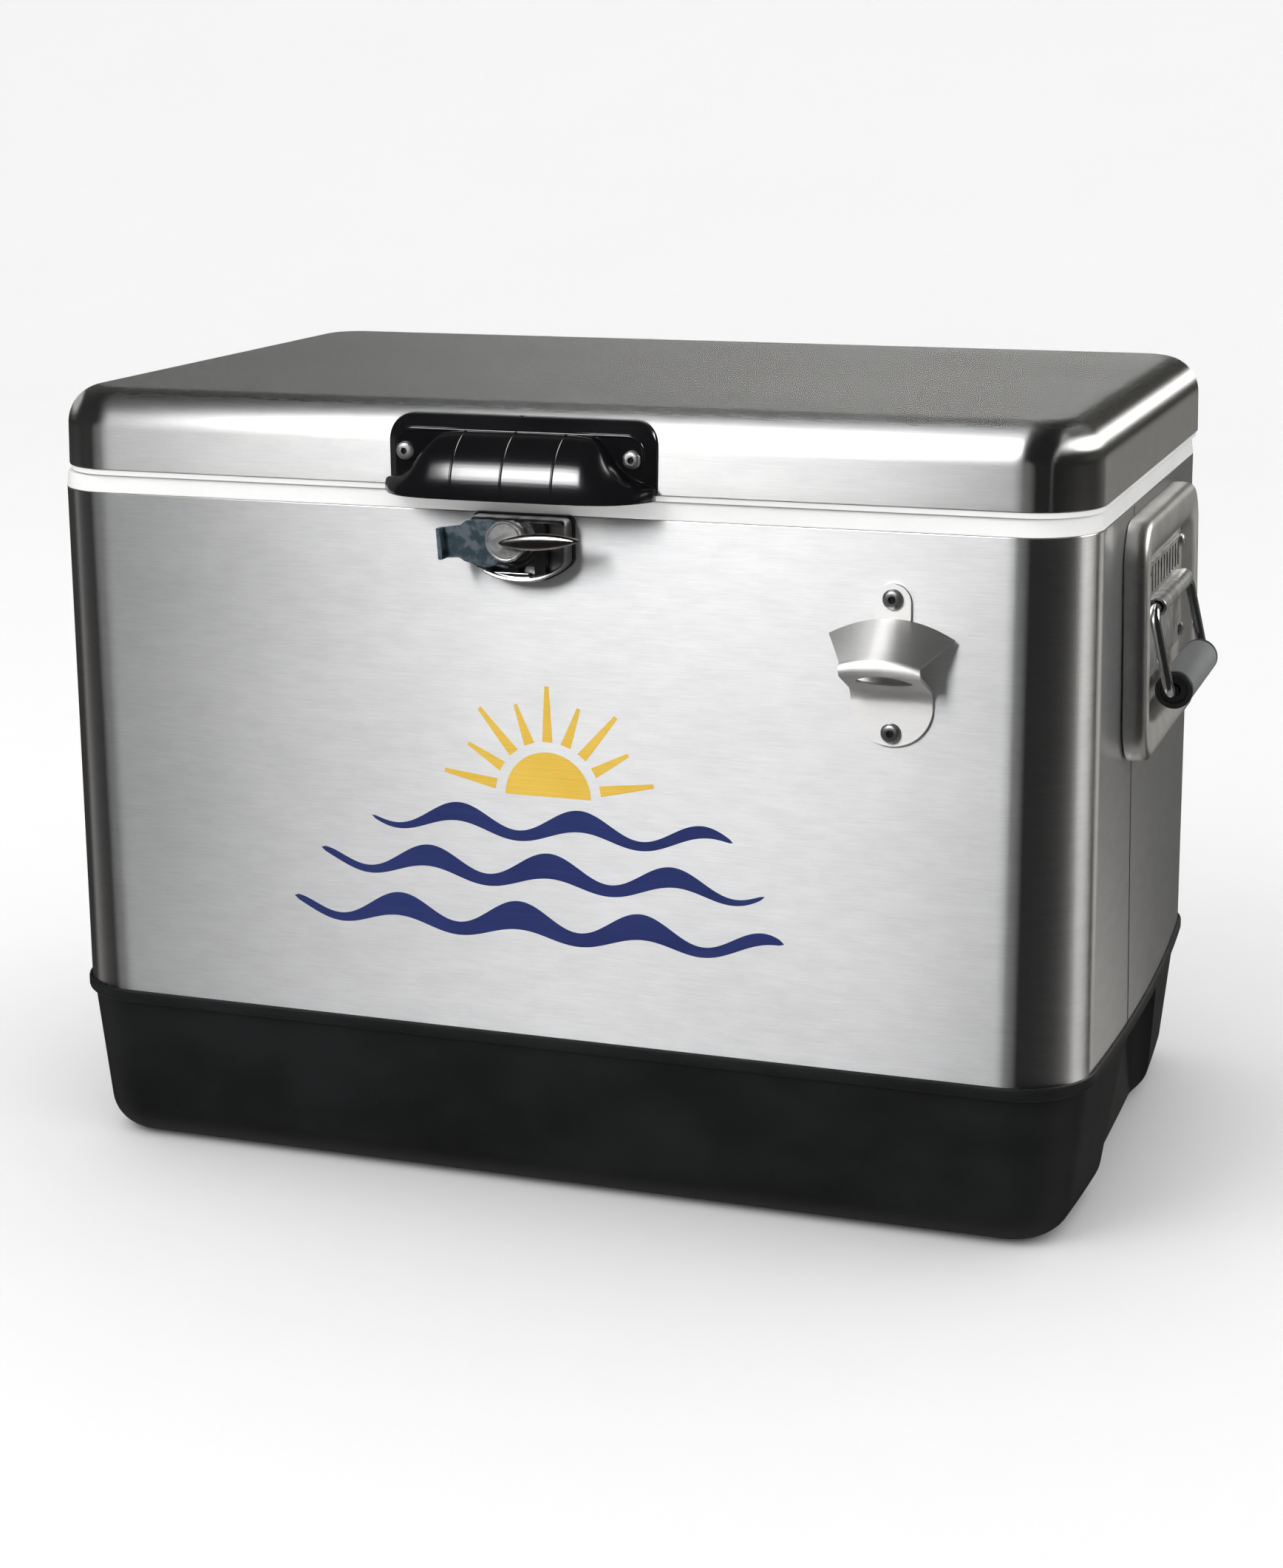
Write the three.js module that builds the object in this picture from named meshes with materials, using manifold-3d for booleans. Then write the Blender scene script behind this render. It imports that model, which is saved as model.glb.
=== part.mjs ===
// A steel-belted cooler chest: a moulded base tub, a steel belt, an insulated liner and a hinged steel lid,
// with a turn latch, a bottle opener, two drop handles and a drain.
// Millimetres. +X is the right end, -Y the front, +Z up. The origin is the middle of the underside.
import * as THREE from 'three';
import { mergeVertices } from 'three/addons/utils/BufferGeometryUtils.js';
import Module from 'manifold-3d';

const wasm = await Module();
wasm.setup();

// ---------------------------------------------------------------- driving dimensions

const GAP = 0.3; // running clearance between neighbouring pieces
const STEEL = 0.7; // sheet of the belt and of the lid pan
const CORNER_STEPS = 5; // facets in each rounded vertical corner
const END_STEPS = 4; // facets across each bowed end wall

const BODY = { halfX: 300, halfY: 186, corner: 39, topZ: 391.8, bow: 7.9 };
const BASE = { rimZ: 97.2, lipZ: 89.2, lipOut: 2, wall: 4, taper: 5.4, inset: 0.7, edge: 21.8, seatZ: 90.6 };
const RECESS = { backX: 288, outX: 330, corner: 14, topZ: 87, halfTop: 53, halfBottom: 88 };
const CAVITY = { halfX: 268, halfY: 154, corner: 32, floorZ: 66, fillet: 14, draft: 0.018 };
const RIM = { topZ: 401.3, skirt: 3, wall: 3, chamfer: 1.2 };
const LID = { halfX: 298.7, halfY: 188.7, corner: 38, edge: 22.1, draft: 1.45, shiftX: 3, bottomZ: 405.4, topZ: 450 };
const PLUG = { halfX: 264.5, halfY: 151, corner: 29, bottomZ: 388, chamfer: 3, wall: 3, flangeZ: 402.1 };

const HARDWARE_X = -5; // the grip and the latch housing are centred here
const GRIP = { halfX: 77, bottomZ: 405, topZ: 444, corner: 14, frontY: -194, backY: -178, bevel: 6, wall: 3.2 };
const BULGE = { depth: 27, height: 33.5, lipZ: 403 };
const CATCH = { half: 8, lowZ: 408, highZ: 411.5, tipY: -207.5, rootY: -218.5 };

const LATCH = { x: -8.5, z: 380, tilt: 4, shaft: 4.1, bore: 4.4, disc: 11.3 };
const SHIELD = { half: 28, topZ: 391.5, shoulderZ: 369, bottomZ: 356.6, round: 3 };
const OPENER = { x: 199, tab: 9.5, plate: 22, sheet: 2, topZ: 365.3, neckZ: 347, ridgeZ: 328, foldZ: 307, bottomZ: 279.4 };
const HOOD = { tipHalf: 33.6, tipZ: 338, tipOut: 4, ridgeHalf: 21.5, reach: 30 };

const HANDLE = { z: 319, y: 93, halfZ: 67, corner: 24, tilt: 1.55, wallX: 302.4, rise: 12.5, floor: 5, sheet: 1.5 };
const BAIL = { pivotX: 10.6, pivotZ: 14.7, wire: 3, halfY: 61, bend: 8, drop: 47.4, rest: 11.75 };
const SLEEVE = { radius: 10.5, bore: 3.6, half: 44, cap: 4 };

const HINGE = { y: 195, z: 399, x: 171.5, half: 30, knuckle: 4.5, pin: 2.5, outer: 18, leaf: 1.5 };
const DRAIN = { z: 70, tube: 9.7, bore: 7.5, hole: 10, innerX: 263, collarX: 288.3, tipX: 299 };

// ---------------------------------------------------------------- shape tools

const rad = THREE.MathUtils.degToRad;

// A closed body through rings of equal length, each ring counter-clockwise seen from the far end.
// An open run is capped at both ends; a closed run joins its last ring to its first.
function loft(rings, closed = false) {
  const count = rings[0].length;
  const positions = rings.flat(2);
  const indices = [];
  const bands = closed ? rings.length : rings.length - 1;
  for (let band = 0; band < bands; band += 1) {
    const low = band * count;
    const high = ((band + 1) % rings.length) * count;
    for (let i = 0; i < count; i += 1) {
      const next = (i + 1) % count;
      indices.push(low + i, low + next, high + next);
      indices.push(low + i, high + next, high + i);
    }
  }
  if (!closed) {
    capRing(rings[0], 0, true, positions, indices);
    capRing(rings.at(-1), (rings.length - 1) * count, false, positions, indices);
  }
  const geometry = new THREE.BufferGeometry();
  geometry.setAttribute('position', new THREE.Float32BufferAttribute(positions, 3));
  geometry.setIndex(indices);
  return geometry;
}

function capRing(ring, start, reversed, positions, indices) {
  const centre = positions.length / 3;
  for (let axis = 0; axis < 3; axis += 1) {
    positions.push(ring.reduce((sum, point) => sum + point[axis], 0) / ring.length);
  }
  for (let i = 0; i < ring.length; i += 1) {
    const a = start + i;
    const b = start + ((i + 1) % ring.length);
    indices.push(centre, reversed ? b : a, reversed ? a : b);
  }
}

// Rounded rectangle, counter-clockwise, with the two X ends bowed outwards by `bow` at mid-depth.
function outline(halfX, halfY, corner, { bow = 0, centreX = 0, endSteps = END_STEPS, cornerSteps = CORNER_STEPS } = {}) {
  const points = [];
  const reach = halfY - corner;
  const add = (side, x, y) => points.push([centreX + x + side * bow * (1 - (y / halfY) ** 2), y]);
  const arc = (side, depth, from) => {
    for (let step = 0; step <= cornerSteps; step += 1) {
      const turn = rad(from + (90 * step) / cornerSteps);
      const x = side * (halfX - corner) + corner * Math.cos(turn);
      add(side, x, depth * reach + corner * Math.sin(turn));
    }
  };
  const end = side => {
    for (let step = 1; step < endSteps; step += 1) {
      add(side, side * halfX, side * reach * ((2 * step) / endSteps - 1));
    }
  };
  end(1);
  arc(1, 1, 0);
  arc(-1, 1, 90);
  end(-1);
  arc(-1, -1, 180);
  arc(1, -1, 270);
  return points;
}

const atHeight = (points, z) => points.map(([x, y]) => [x, y, z]);
const asEndRing = (points, x) => points.map(([y, z]) => [x, y, z]);

// manifold-3d joins and cuts closed meshes; these two carry shapes in and out of it.
function toSolid(geometry) {
  const bare = geometry.clone();
  bare.deleteAttribute('normal');
  bare.deleteAttribute('uv');
  const merged = mergeVertices(bare, 1e-4);
  const corners = merged.index.array;
  const kept = [];
  for (let i = 0; i < corners.length; i += 3) {
    const [a, b, c] = corners.slice(i, i + 3);
    if (a !== b && b !== c && c !== a) {
      kept.push(a, b, c);
    }
  }
  const vertProperties = new Float32Array(merged.attributes.position.array);
  return new wasm.Manifold(new wasm.Mesh({ numProp: 3, vertProperties, triVerts: new Uint32Array(kept) }));
}

function toGeometry(solid) {
  const mesh = solid.getMesh();
  const geometry = new THREE.BufferGeometry();
  geometry.setAttribute('position', new THREE.Float32BufferAttribute(mesh.vertProperties, 3));
  geometry.setIndex([...mesh.triVerts]);
  return geometry;
}

function box(low, high) {
  const size = high.map((value, axis) => value - low[axis]);
  const geometry = new THREE.BoxGeometry(...size);
  geometry.translate(...low.map((value, axis) => value + size[axis] / 2));
  return geometry;
}

// A turned piece about local Y, given as [radius, height] from the axis at the foot to the axis at the top.
function turned(profile, segments = 16) {
  return new THREE.LatheGeometry(profile.map(([r, h]) => new THREE.Vector2(r, h)), segments);
}

// A washer-like ring about local Y.
function ring(inner, outer, low, high, segments = 16) {
  return turned([[inner, low], [outer, low], [outer, high], [inner, high], [inner, low]], segments);
}

// Turns local +Y to point along +X, -X, -Y or +Y of the chest.
const facing = {
  right: geometry => geometry.rotateZ(-Math.PI / 2),
  left: geometry => geometry.rotateZ(Math.PI / 2),
  front: geometry => geometry.rotateX(Math.PI),
  rear: geometry => geometry,
};

// A shape drawn in X and Z, standing `offset` off the front wall and `depth` thick towards the viewer.
function frontPlate(shape, offset, depth, curveSegments = 6) {
  const geometry = new THREE.ExtrudeGeometry(shape, { depth, bevelEnabled: false, curveSegments });
  geometry.rotateX(Math.PI / 2);
  geometry.translate(0, -BODY.halfY - offset, 0);
  return geometry;
}

// ---------------------------------------------------------------- materials and assembly

const finish = (color, roughness, metalness) => ({ color, roughness, metalness });
const FINISH = {
  brushed: finish(0xb9bab8, 0.34, 1),
  chrome: finish(0xd6d8da, 0.12, 1),
  zinc: finish(0x8fa3b3, 0.38, 1),
  black: finish(0x1b1b1b, 0.55, 0),
  gloss: finish(0x101011, 0.18, 0),
  white: finish(0xf2f3f1, 0.42, 0),
  foam: finish(0xd9cfa6, 0.95, 0),
  grey: finish(0x84888a, 0.6, 0),
  rubber: finish(0x151515, 0.75, 0),
};

const chest = new THREE.Group();

function place(name, geometry, look, parent = chest) {
  const mesh = new THREE.Mesh(geometry, new THREE.MeshStandardMaterial(look));
  mesh.name = name;
  parent.add(mesh);
  return mesh;
}

// A blind rivet's domed head with the hollow its mandrel leaves.
function rivetHead(radius, height) {
  const hollow = radius * 0.34;
  const shoulder = [hollow + (radius - hollow) * Math.SQRT1_2, 0.5 + (height - 0.5) * Math.SQRT1_2];
  const crown = [[hollow, height], [hollow, height * 0.45], [0, height * 0.45]];
  return turned([[0, 0], [radius, 0], [radius, 0.5], shoulder, ...crown], 10);
}

function placeRivet(name, radius, height, direction, position, parent = chest) {
  const mesh = place(name, facing[direction](rivetHead(radius, height)), FINISH.chrome, parent);
  mesh.position.set(...position);
}

// ---------------------------------------------------------------- body: base, belt, foam, liner

const bowAt = z => BODY.bow * Math.min(1, (BODY.topZ - z) / (BODY.topZ - BASE.rimZ));

function bodyRing(inset, z) {
  const points = outline(BODY.halfX - inset, BODY.halfY - inset, BODY.corner - inset, { bow: bowAt(z) });
  return atHeight(points, z);
}

const baseInset = z => BASE.inset + (BASE.rimZ - z) * Math.tan(rad(BASE.taper));

// The tub's wall from its flat foot, round the bottom edge and up, `inward` of the outer surface.
function baseWall(inward, topZ) {
  const radius = BASE.edge - inward;
  const centre = baseInset(BASE.edge) + BASE.edge / Math.cos(rad(BASE.taper));
  const rings = [90, 62, 34, BASE.taper].map(turn => {
    const inset = centre - radius * Math.cos(rad(turn));
    return bodyRing(inset, BASE.edge - radius * Math.sin(rad(turn)));
  });
  rings.push(bodyRing(baseInset(topZ) + inward / Math.cos(rad(BASE.taper)), topZ));
  return rings;
}

// The hand hold under each end: a scoop that widens downwards, grown by `grow` on every side.
function handHold(side, grow) {
  const halfX = (RECESS.outX - RECESS.backX) / 2 + grow;
  const centreX = side * (RECESS.outX + RECESS.backX) * 0.5;
  const ringAt = (half, z) => atHeight(outline(halfX, half + grow, RECESS.corner + grow, { centreX, endSteps: 1 }), z);
  const slope = (RECESS.halfBottom - RECESS.halfTop) / RECESS.topZ;
  const below = 5;
  const rings = [ringAt(RECESS.halfBottom + slope * below, -below), ringAt(RECESS.halfTop, RECESS.topZ + grow)];
  return toSolid(loft(rings));
}

function drainHole() {
  const reach = 60;
  const geometry = facing.left(turned([[0, 0], [DRAIN.hole, 0], [DRAIN.hole, reach], [0, reach]]));
  geometry.translate(-DRAIN.innerX + reach / 4, 0, DRAIN.z);
  return toSolid(geometry);
}

function baseTub() {
  const outer = [
    ...baseWall(0, BASE.lipZ),
    bodyRing(-BASE.lipOut + 0.6, BASE.lipZ + 1),
    bodyRing(-BASE.lipOut, BASE.lipZ + 2),
    bodyRing(-BASE.lipOut, BASE.rimZ - 1),
    bodyRing(-BASE.lipOut + 0.6, BASE.rimZ),
    bodyRing(-GAP, BASE.rimZ),
    bodyRing(-GAP, BASE.seatZ),
  ];
  const inner = baseWall(BASE.wall, BASE.seatZ).reverse();
  let tub = toSolid(loft([...outer, ...inner]));
  const block = toSolid(loft(baseWall(0, BASE.seatZ)));
  for (const side of [1, -1]) {
    tub = tub.add(block.intersect(handHold(side, BASE.wall))).subtract(handHold(side, 0));
  }
  return toGeometry(tub.subtract(drainHole()));
}

function belt() {
  const foot = BASE.seatZ + 0.4;
  const outside = [bodyRing(0, foot), bodyRing(0, BASE.rimZ), bodyRing(0, BODY.topZ)];
  const inside = [bodyRing(STEEL, foot - 1), bodyRing(STEEL, BASE.rimZ), bodyRing(STEEL, BODY.topZ + 1)];
  return toGeometry(toSolid(loft(outside)).subtract(toSolid(loft(inside))));
}

// Ring of the cavity wall at height z, `out` away from the cavity.
function cavityRing(out, z, pull = 0) {
  const shrink = (RIM.topZ - z) * CAVITY.draft + pull;
  return atHeight(outline(CAVITY.halfX - shrink + out, CAVITY.halfY - shrink + out, CAVITY.corner + out - pull), z);
}

// The cavity wall from the top down to its floor, `out` away from the cavity.
function cavityWall(out, topZ) {
  const rings = [cavityRing(out, topZ)];
  const centreZ = CAVITY.floorZ + CAVITY.fillet;
  for (const turn of [0, 30, 60, 90]) {
    const reach = CAVITY.fillet + out;
    const pull = reach * (1 - Math.cos(rad(turn)));
    rings.push(cavityRing(out, centreZ - reach * Math.sin(rad(turn)), pull));
  }
  return rings;
}

function bodyFoam() {
  const shoulder = BODY.topZ;
  const crown = RIM.topZ - RIM.wall - GAP;
  const behindBelt = STEEL + GAP;
  const rings = [
    ...baseWall(BASE.wall + GAP, BASE.seatZ + GAP),
    bodyRing(behindBelt, BASE.seatZ + GAP),
    bodyRing(behindBelt, BASE.rimZ),
    bodyRing(behindBelt, shoulder),
    bodyRing(RIM.skirt + 2 * GAP, shoulder),
    bodyRing(RIM.skirt + 2 * GAP, crown),
    ...cavityWall(RIM.wall + GAP, crown),
  ];
  let foam = toSolid(loft(rings));
  for (const side of [1, -1]) {
    foam = foam.subtract(handHold(side, BASE.wall + GAP));
  }
  return toGeometry(foam.subtract(drainHole()));
}

function innerLiner() {
  const skirtZ = BODY.topZ + GAP;
  const rings = [
    ...cavityWall(RIM.wall, RIM.topZ - RIM.wall).reverse(),
    bodyRing(RIM.skirt + GAP, RIM.topZ - RIM.wall),
    bodyRing(RIM.skirt + GAP, skirtZ),
    bodyRing(GAP, skirtZ),
    bodyRing(RIM.chamfer, RIM.topZ - 1),
    bodyRing(RIM.chamfer + 1, RIM.topZ),
    cavityRing(2, RIM.topZ),
    ...cavityWall(0, RIM.topZ - 2),
  ];
  return toGeometry(toSolid(loft(rings)).subtract(drainHole()));
}

place('base_tub', baseTub(), FINISH.black);
place('body_belt', belt(), FINISH.brushed);
place('body_foam', bodyFoam(), FINISH.foam);
place('inner_liner', innerLiner(), FINISH.white);

// ---------------------------------------------------------------- drain, at the left end

function drainSpout() {
  const base = DRAIN.collarX + 2;
  const profile = [
    [DRAIN.bore, DRAIN.innerX], [DRAIN.tube, DRAIN.innerX], [DRAIN.tube, DRAIN.collarX], [14, DRAIN.collarX],
    [14, base], [DRAIN.tube, base], [DRAIN.tube, DRAIN.tipX], [DRAIN.bore, DRAIN.tipX], [DRAIN.bore, DRAIN.innerX],
  ];
  return facing.left(turned(profile));
}

function drainCap() {
  const floor = DRAIN.tipX + 2.1;
  const profile = [
    [0, floor], [DRAIN.hole, floor], [DRAIN.hole, DRAIN.collarX + 4], [13, DRAIN.collarX + 4],
    [13, floor + 0.6], [12, floor + 1.6], [0, floor + 1.6],
  ].reverse();
  return facing.left(turned(profile.reverse()));
}

place('drain_spout', drainSpout(), FINISH.black).position.z = DRAIN.z;
place('drain_cap', drainCap(), FINISH.black).position.z = DRAIN.z;
const drainSeal = facing.left(turned([[0, DRAIN.tipX + GAP], [9.4, DRAIN.tipX + GAP], [9.4, DRAIN.tipX + 1.8], [0, DRAIN.tipX + 1.8]]));
place('drain_cap_seal', drainSeal, FINISH.rubber).position.z = DRAIN.z;

// ---------------------------------------------------------------- lid: pan, foam, liner

function lidRing(inset, z) {
  const options = { centreX: LID.shiftX, endSteps: 1 };
  return atHeight(outline(LID.halfX - inset, LID.halfY - inset, LID.corner - inset, options), z);
}

// The lid's wall from `bottomZ` up its draft and over the top edge, `inward` of the outer surface.
function lidWall(inward, bottomZ) {
  const radius = LID.edge - inward;
  const springZ = LID.topZ - LID.edge;
  const lean = (springZ - LID.bottomZ) * Math.tan(rad(LID.draft));
  const rings = [lidRing(inward, bottomZ)];
  for (const turn of [0, 24, 46, 68, 90]) {
    rings.push(lidRing(lean + LID.edge - radius * Math.cos(rad(turn)), springZ + radius * Math.sin(rad(turn))));
  }
  return rings;
}

function lidPan() {
  return loft([...lidWall(STEEL, LID.bottomZ).reverse(), ...lidWall(0, LID.bottomZ)]);
}

function plugRing(inset, z) {
  const options = { endSteps: 1 };
  return atHeight(outline(PLUG.halfX - inset, PLUG.halfY - inset, PLUG.corner - inset, options), z);
}

function lidFoam() {
  const inset = PLUG.wall + GAP;
  return loft([
    plugRing(inset + PLUG.chamfer, PLUG.bottomZ + inset),
    plugRing(inset, PLUG.bottomZ + PLUG.chamfer + inset),
    plugRing(inset, LID.bottomZ),
    ...lidWall(STEEL + GAP, LID.bottomZ),
  ]);
}

function lidLiner() {
  const flangeTop = LID.bottomZ - GAP;
  return loft([
    plugRing(PLUG.chamfer, PLUG.bottomZ),
    plugRing(0, PLUG.bottomZ + PLUG.chamfer),
    plugRing(0, PLUG.flangeZ),
    lidRing(STEEL + GAP, PLUG.flangeZ),
    lidRing(STEEL + GAP, flangeTop),
    plugRing(PLUG.wall, flangeTop),
    plugRing(PLUG.wall, PLUG.bottomZ + PLUG.chamfer + PLUG.wall),
    plugRing(PLUG.wall + PLUG.chamfer, PLUG.bottomZ + PLUG.wall),
  ]);
}

place('lid_pan', lidPan(), FINISH.brushed);
place('lid_foam', lidFoam(), FINISH.foam);
place('lid_liner', lidLiner(), FINISH.white);

// ---------------------------------------------------------------- lid grip

// Upright outline of the grip's flange in X and Z, with round upper corners, `inset` smaller.
function flangeOutline(inset, topDrop) {
  const halfX = GRIP.halfX - inset;
  const topZ = GRIP.topZ - topDrop;
  const points = [[HARDWARE_X - halfX, GRIP.bottomZ], [HARDWARE_X + halfX, GRIP.bottomZ]];
  for (const side of [1, -1]) {
    for (let step = 0; step <= 4; step += 1) {
      const turn = rad(side > 0 ? 22.5 * step : 90 + 22.5 * step);
      const x = HARDWARE_X + side * (halfX - GRIP.corner) + GRIP.corner * Math.cos(turn);
      points.push([x, topZ - GRIP.corner + GRIP.corner * Math.sin(turn)]);
    }
  }
  return points;
}

// Section of the hand bulge at one station, in Y and Z: a quarter ellipse standing on its lower lip.
function bulgeSection(x, depth, height, backY, footZ) {
  const points = [[backY, footZ], [backY, BULGE.lipZ + height]];
  for (let step = 0; step <= 5; step += 1) {
    const turn = rad(18 * step);
    points.push([GRIP.frontY - depth * Math.sin(turn), BULGE.lipZ + height * Math.cos(turn)]);
  }
  if (footZ < BULGE.lipZ) {
    points.push([GRIP.frontY - depth, footZ]);
  }
  return asEndRing(points, HARDWARE_X + x);
}

// Stations are [distance from the middle, share of full depth, share of full height].
function bulge(stations, thinner, backY, footZ) {
  const mirrored = [...stations.map(([x, d, h]) => [-x, d, h]), ...[...stations].reverse()];
  const rings = mirrored.map(([x, depthShare, heightShare]) => {
    const depth = (BULGE.depth - thinner) * depthShare;
    const height = (BULGE.height - thinner) * heightShare;
    return bulgeSection(x, depth, height, backY, footZ);
  });
  return toSolid(loft(rings));
}

function lidGrip() {
  const back = flangeOutline(0, 0).map(([x, z]) => [x, GRIP.backY, z]);
  const shoulder = flangeOutline(0, 0).map(([x, z]) => [x, GRIP.frontY + GRIP.bevel, z]);
  const face = flangeOutline(GRIP.bevel - 1, GRIP.bevel + 0.5).map(([x, z]) => [x, GRIP.frontY, z]);
  const flange = toSolid(loft([back, shoulder, face]));
  const outside = bulge([[75, 0.12, 0.2], [70, 0.5, 0.26], [62, 0.78, 0.34], [54, 0.92, 0.6], [44, 1, 1]], 0, GRIP.frontY + 2, BULGE.lipZ);
  const pocket = bulge([[52, 0.72, 0.45], [43, 1, 1]], GRIP.wall, GRIP.backY, BULGE.lipZ - 4);
  const ledge = toSolid(box([LATCH.x - CATCH.half, CATCH.rootY, CATCH.lowZ], [LATCH.x + CATCH.half, CATCH.tipY, CATCH.highZ]));
  const lidClearance = toSolid(loft(lidWall(-GAP - 0.1, LID.bottomZ - 10)));
  return toGeometry(flange.add(outside).subtract(pocket).add(ledge).subtract(lidClearance));
}

place('lid_grip', lidGrip(), FINISH.gloss);
for (const [side, x] of [['left', -70], ['right', 59]]) {
  placeRivet(`grip_rivet_${side}`, 5, 2.6, 'front', [x, GRIP.frontY - GAP, 424.5]);
}

// ---------------------------------------------------------------- turn latch

// The housing's outline: a square-shouldered shield with a rounded foot, `grow` larger all round.
function shieldShape(grow) {
  const half = SHIELD.half + grow;
  const topZ = SHIELD.topZ + grow;
  const footZ = SHIELD.bottomZ - grow;
  const { round, shoulderZ } = SHIELD;
  const shape = new THREE.Shape();
  shape.moveTo(HARDWARE_X - half, topZ - round);
  shape.quadraticCurveTo(HARDWARE_X - half, topZ, HARDWARE_X - half + round, topZ);
  shape.lineTo(HARDWARE_X + half - round, topZ);
  shape.quadraticCurveTo(HARDWARE_X + half, topZ, HARDWARE_X + half, topZ - round);
  shape.lineTo(HARDWARE_X + half, shoulderZ);
  shape.quadraticCurveTo(HARDWARE_X + half - 2, shoulderZ - 6, HARDWARE_X + half * 0.45, footZ + 1.4);
  shape.quadraticCurveTo(HARDWARE_X, footZ - 1.4, HARDWARE_X - half * 0.45, footZ + 1.4);
  shape.quadraticCurveTo(HARDWARE_X - half + 2, shoulderZ - 6, HARDWARE_X - half, shoulderZ);
  return shape;
}

// A boss or bore on the latch's own axis, from one distance off the front wall to another.
function onLatchAxis(radius, from, to, segments = 20) {
  const geometry = facing.front(turned([[0, from], [radius, from], [radius, to], [0, to]], segments));
  geometry.translate(LATCH.x, -BODY.halfY, LATCH.z);
  return geometry;
}

function latchHousing() {
  const shell = toSolid(frontPlate(shieldShape(0), 2.6, 10.4));
  const hollow = toSolid(frontPlate(shieldShape(-2.6), 4.1, 12));
  const step = toSolid(onLatchAxis(16, 3, 10)).intersect(toSolid(frontPlate(shieldShape(-1), 2.6, 12)));
  const boss = toSolid(onLatchAxis(8, 3, 15.5));
  const bore = toSolid(onLatchAxis(LATCH.bore, 0, 20));
  return toGeometry(shell.subtract(hollow).add(step).add(boss).subtract(bore));
}

function latchBackplate() {
  const plate = toSolid(frontPlate(shieldShape(1), GAP, 2));
  return toGeometry(plate.subtract(toSolid(onLatchAxis(LATCH.bore, 0, 20))));
}

place('latch_backplate', latchBackplate(), FINISH.black);
place('latch_housing', latchHousing(), FINISH.chrome);
for (const [level, x, z] of [['upper', -27.2, 386.6], ['lower', -26.4, 367.6]]) {
  placeRivet(`latch_rivet_${level}`, 2.3, 1.4, 'front', [x, -BODY.halfY - 4.1 - GAP, z]);
}

// The turning pieces are drawn about their own axis, tongue to the left, and hang in one tilted group.
const rotor = new THREE.Group();
rotor.position.set(LATCH.x, 0, LATCH.z);
rotor.rotation.y = -rad(LATCH.tilt);
chest.add(rotor);

function latchTongue() {
  const shape = new THREE.Shape();
  shape.moveTo(-37.5, -8.4);
  shape.lineTo(-26, -8.4);
  shape.lineTo(-24, -11.5);
  shape.lineTo(-14, -14.5);
  shape.lineTo(-4, -10);
  shape.lineTo(6, -8);
  shape.lineTo(6, 8);
  shape.lineTo(-4, 10);
  shape.lineTo(-12, 14.5);
  shape.lineTo(-18, 14);
  shape.lineTo(-25, 8.4);
  shape.lineTo(-37.5, 8.4);
  const plate = toSolid(frontPlate(shape, 17, 2));
  const wall = -BODY.halfY;
  const lip = toSolid(box([-37.5, wall - 25, -8.4], [-35.3, wall - 18, 8.4]));
  const bore = toSolid(facing.front(turned([[0, 180], [LATCH.bore, 180], [LATCH.bore, 215], [0, 215]], 20)));
  return toGeometry(plate.add(lip).subtract(bore));
}

function latchLever() {
  const shape = new THREE.Shape();
  shape.moveTo(-1.5, 0);
  shape.quadraticCurveTo(8, -7.4, 24, -6.4);
  shape.quadraticCurveTo(38, -5.2, 44, 0);
  shape.quadraticCurveTo(38, 5.2, 24, 6.4);
  shape.quadraticCurveTo(8, 7.4, -1.5, 0);
  const slim = frontPlate(shape, 21.8, 6.6);
  return slim.scale(1, 1, 0.72);
}

function latchDisc() {
  const wall = BODY.halfY;
  const profile = [
    [0, wall + 4.8], [LATCH.shaft, wall + 4.8], [LATCH.shaft, wall + 19.3], [LATCH.disc, wall + 19.3],
    [LATCH.disc, wall + 21], [LATCH.disc - 0.5, wall + 21.5], [0, wall + 21.5],
  ];
  return facing.front(turned(profile, 24));
}

place('latch_tongue', latchTongue(), FINISH.zinc, rotor);
place('latch_disc', latchDisc(), FINISH.brushed, rotor);
place('latch_lever', latchLever(), FINISH.chrome, rotor);
const springWasher = facing.front(ring(4.6, 7.8, BODY.halfY + 15.8, BODY.halfY + 16.6));
place('latch_spring_washer', springWasher, FINISH.zinc).position.set(LATCH.x, 0, LATCH.z);

// ---------------------------------------------------------------- bottle opener

// A strip of sheet between an upper and a lower line, each a list of [x, y, z], thickened by `sheet`.
function sheetBetween(upper, lower, thickness) {
  const rings = upper.map((top, i) => {
    const bottom = lower[i];
    const along = new THREE.Vector2(bottom[1] - top[1], bottom[2] - top[2]).normalize();
    const normal = [along.y * thickness, -along.x * thickness];
    return [
      [top[0], top[1], top[2]],
      [top[0], top[1] + normal[0], top[2] + normal[1]],
      [bottom[0], bottom[1] + normal[0], bottom[2] + normal[1]],
      [bottom[0], bottom[1], bottom[2]],
    ];
  });
  return toSolid(loft(rings));
}

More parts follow.
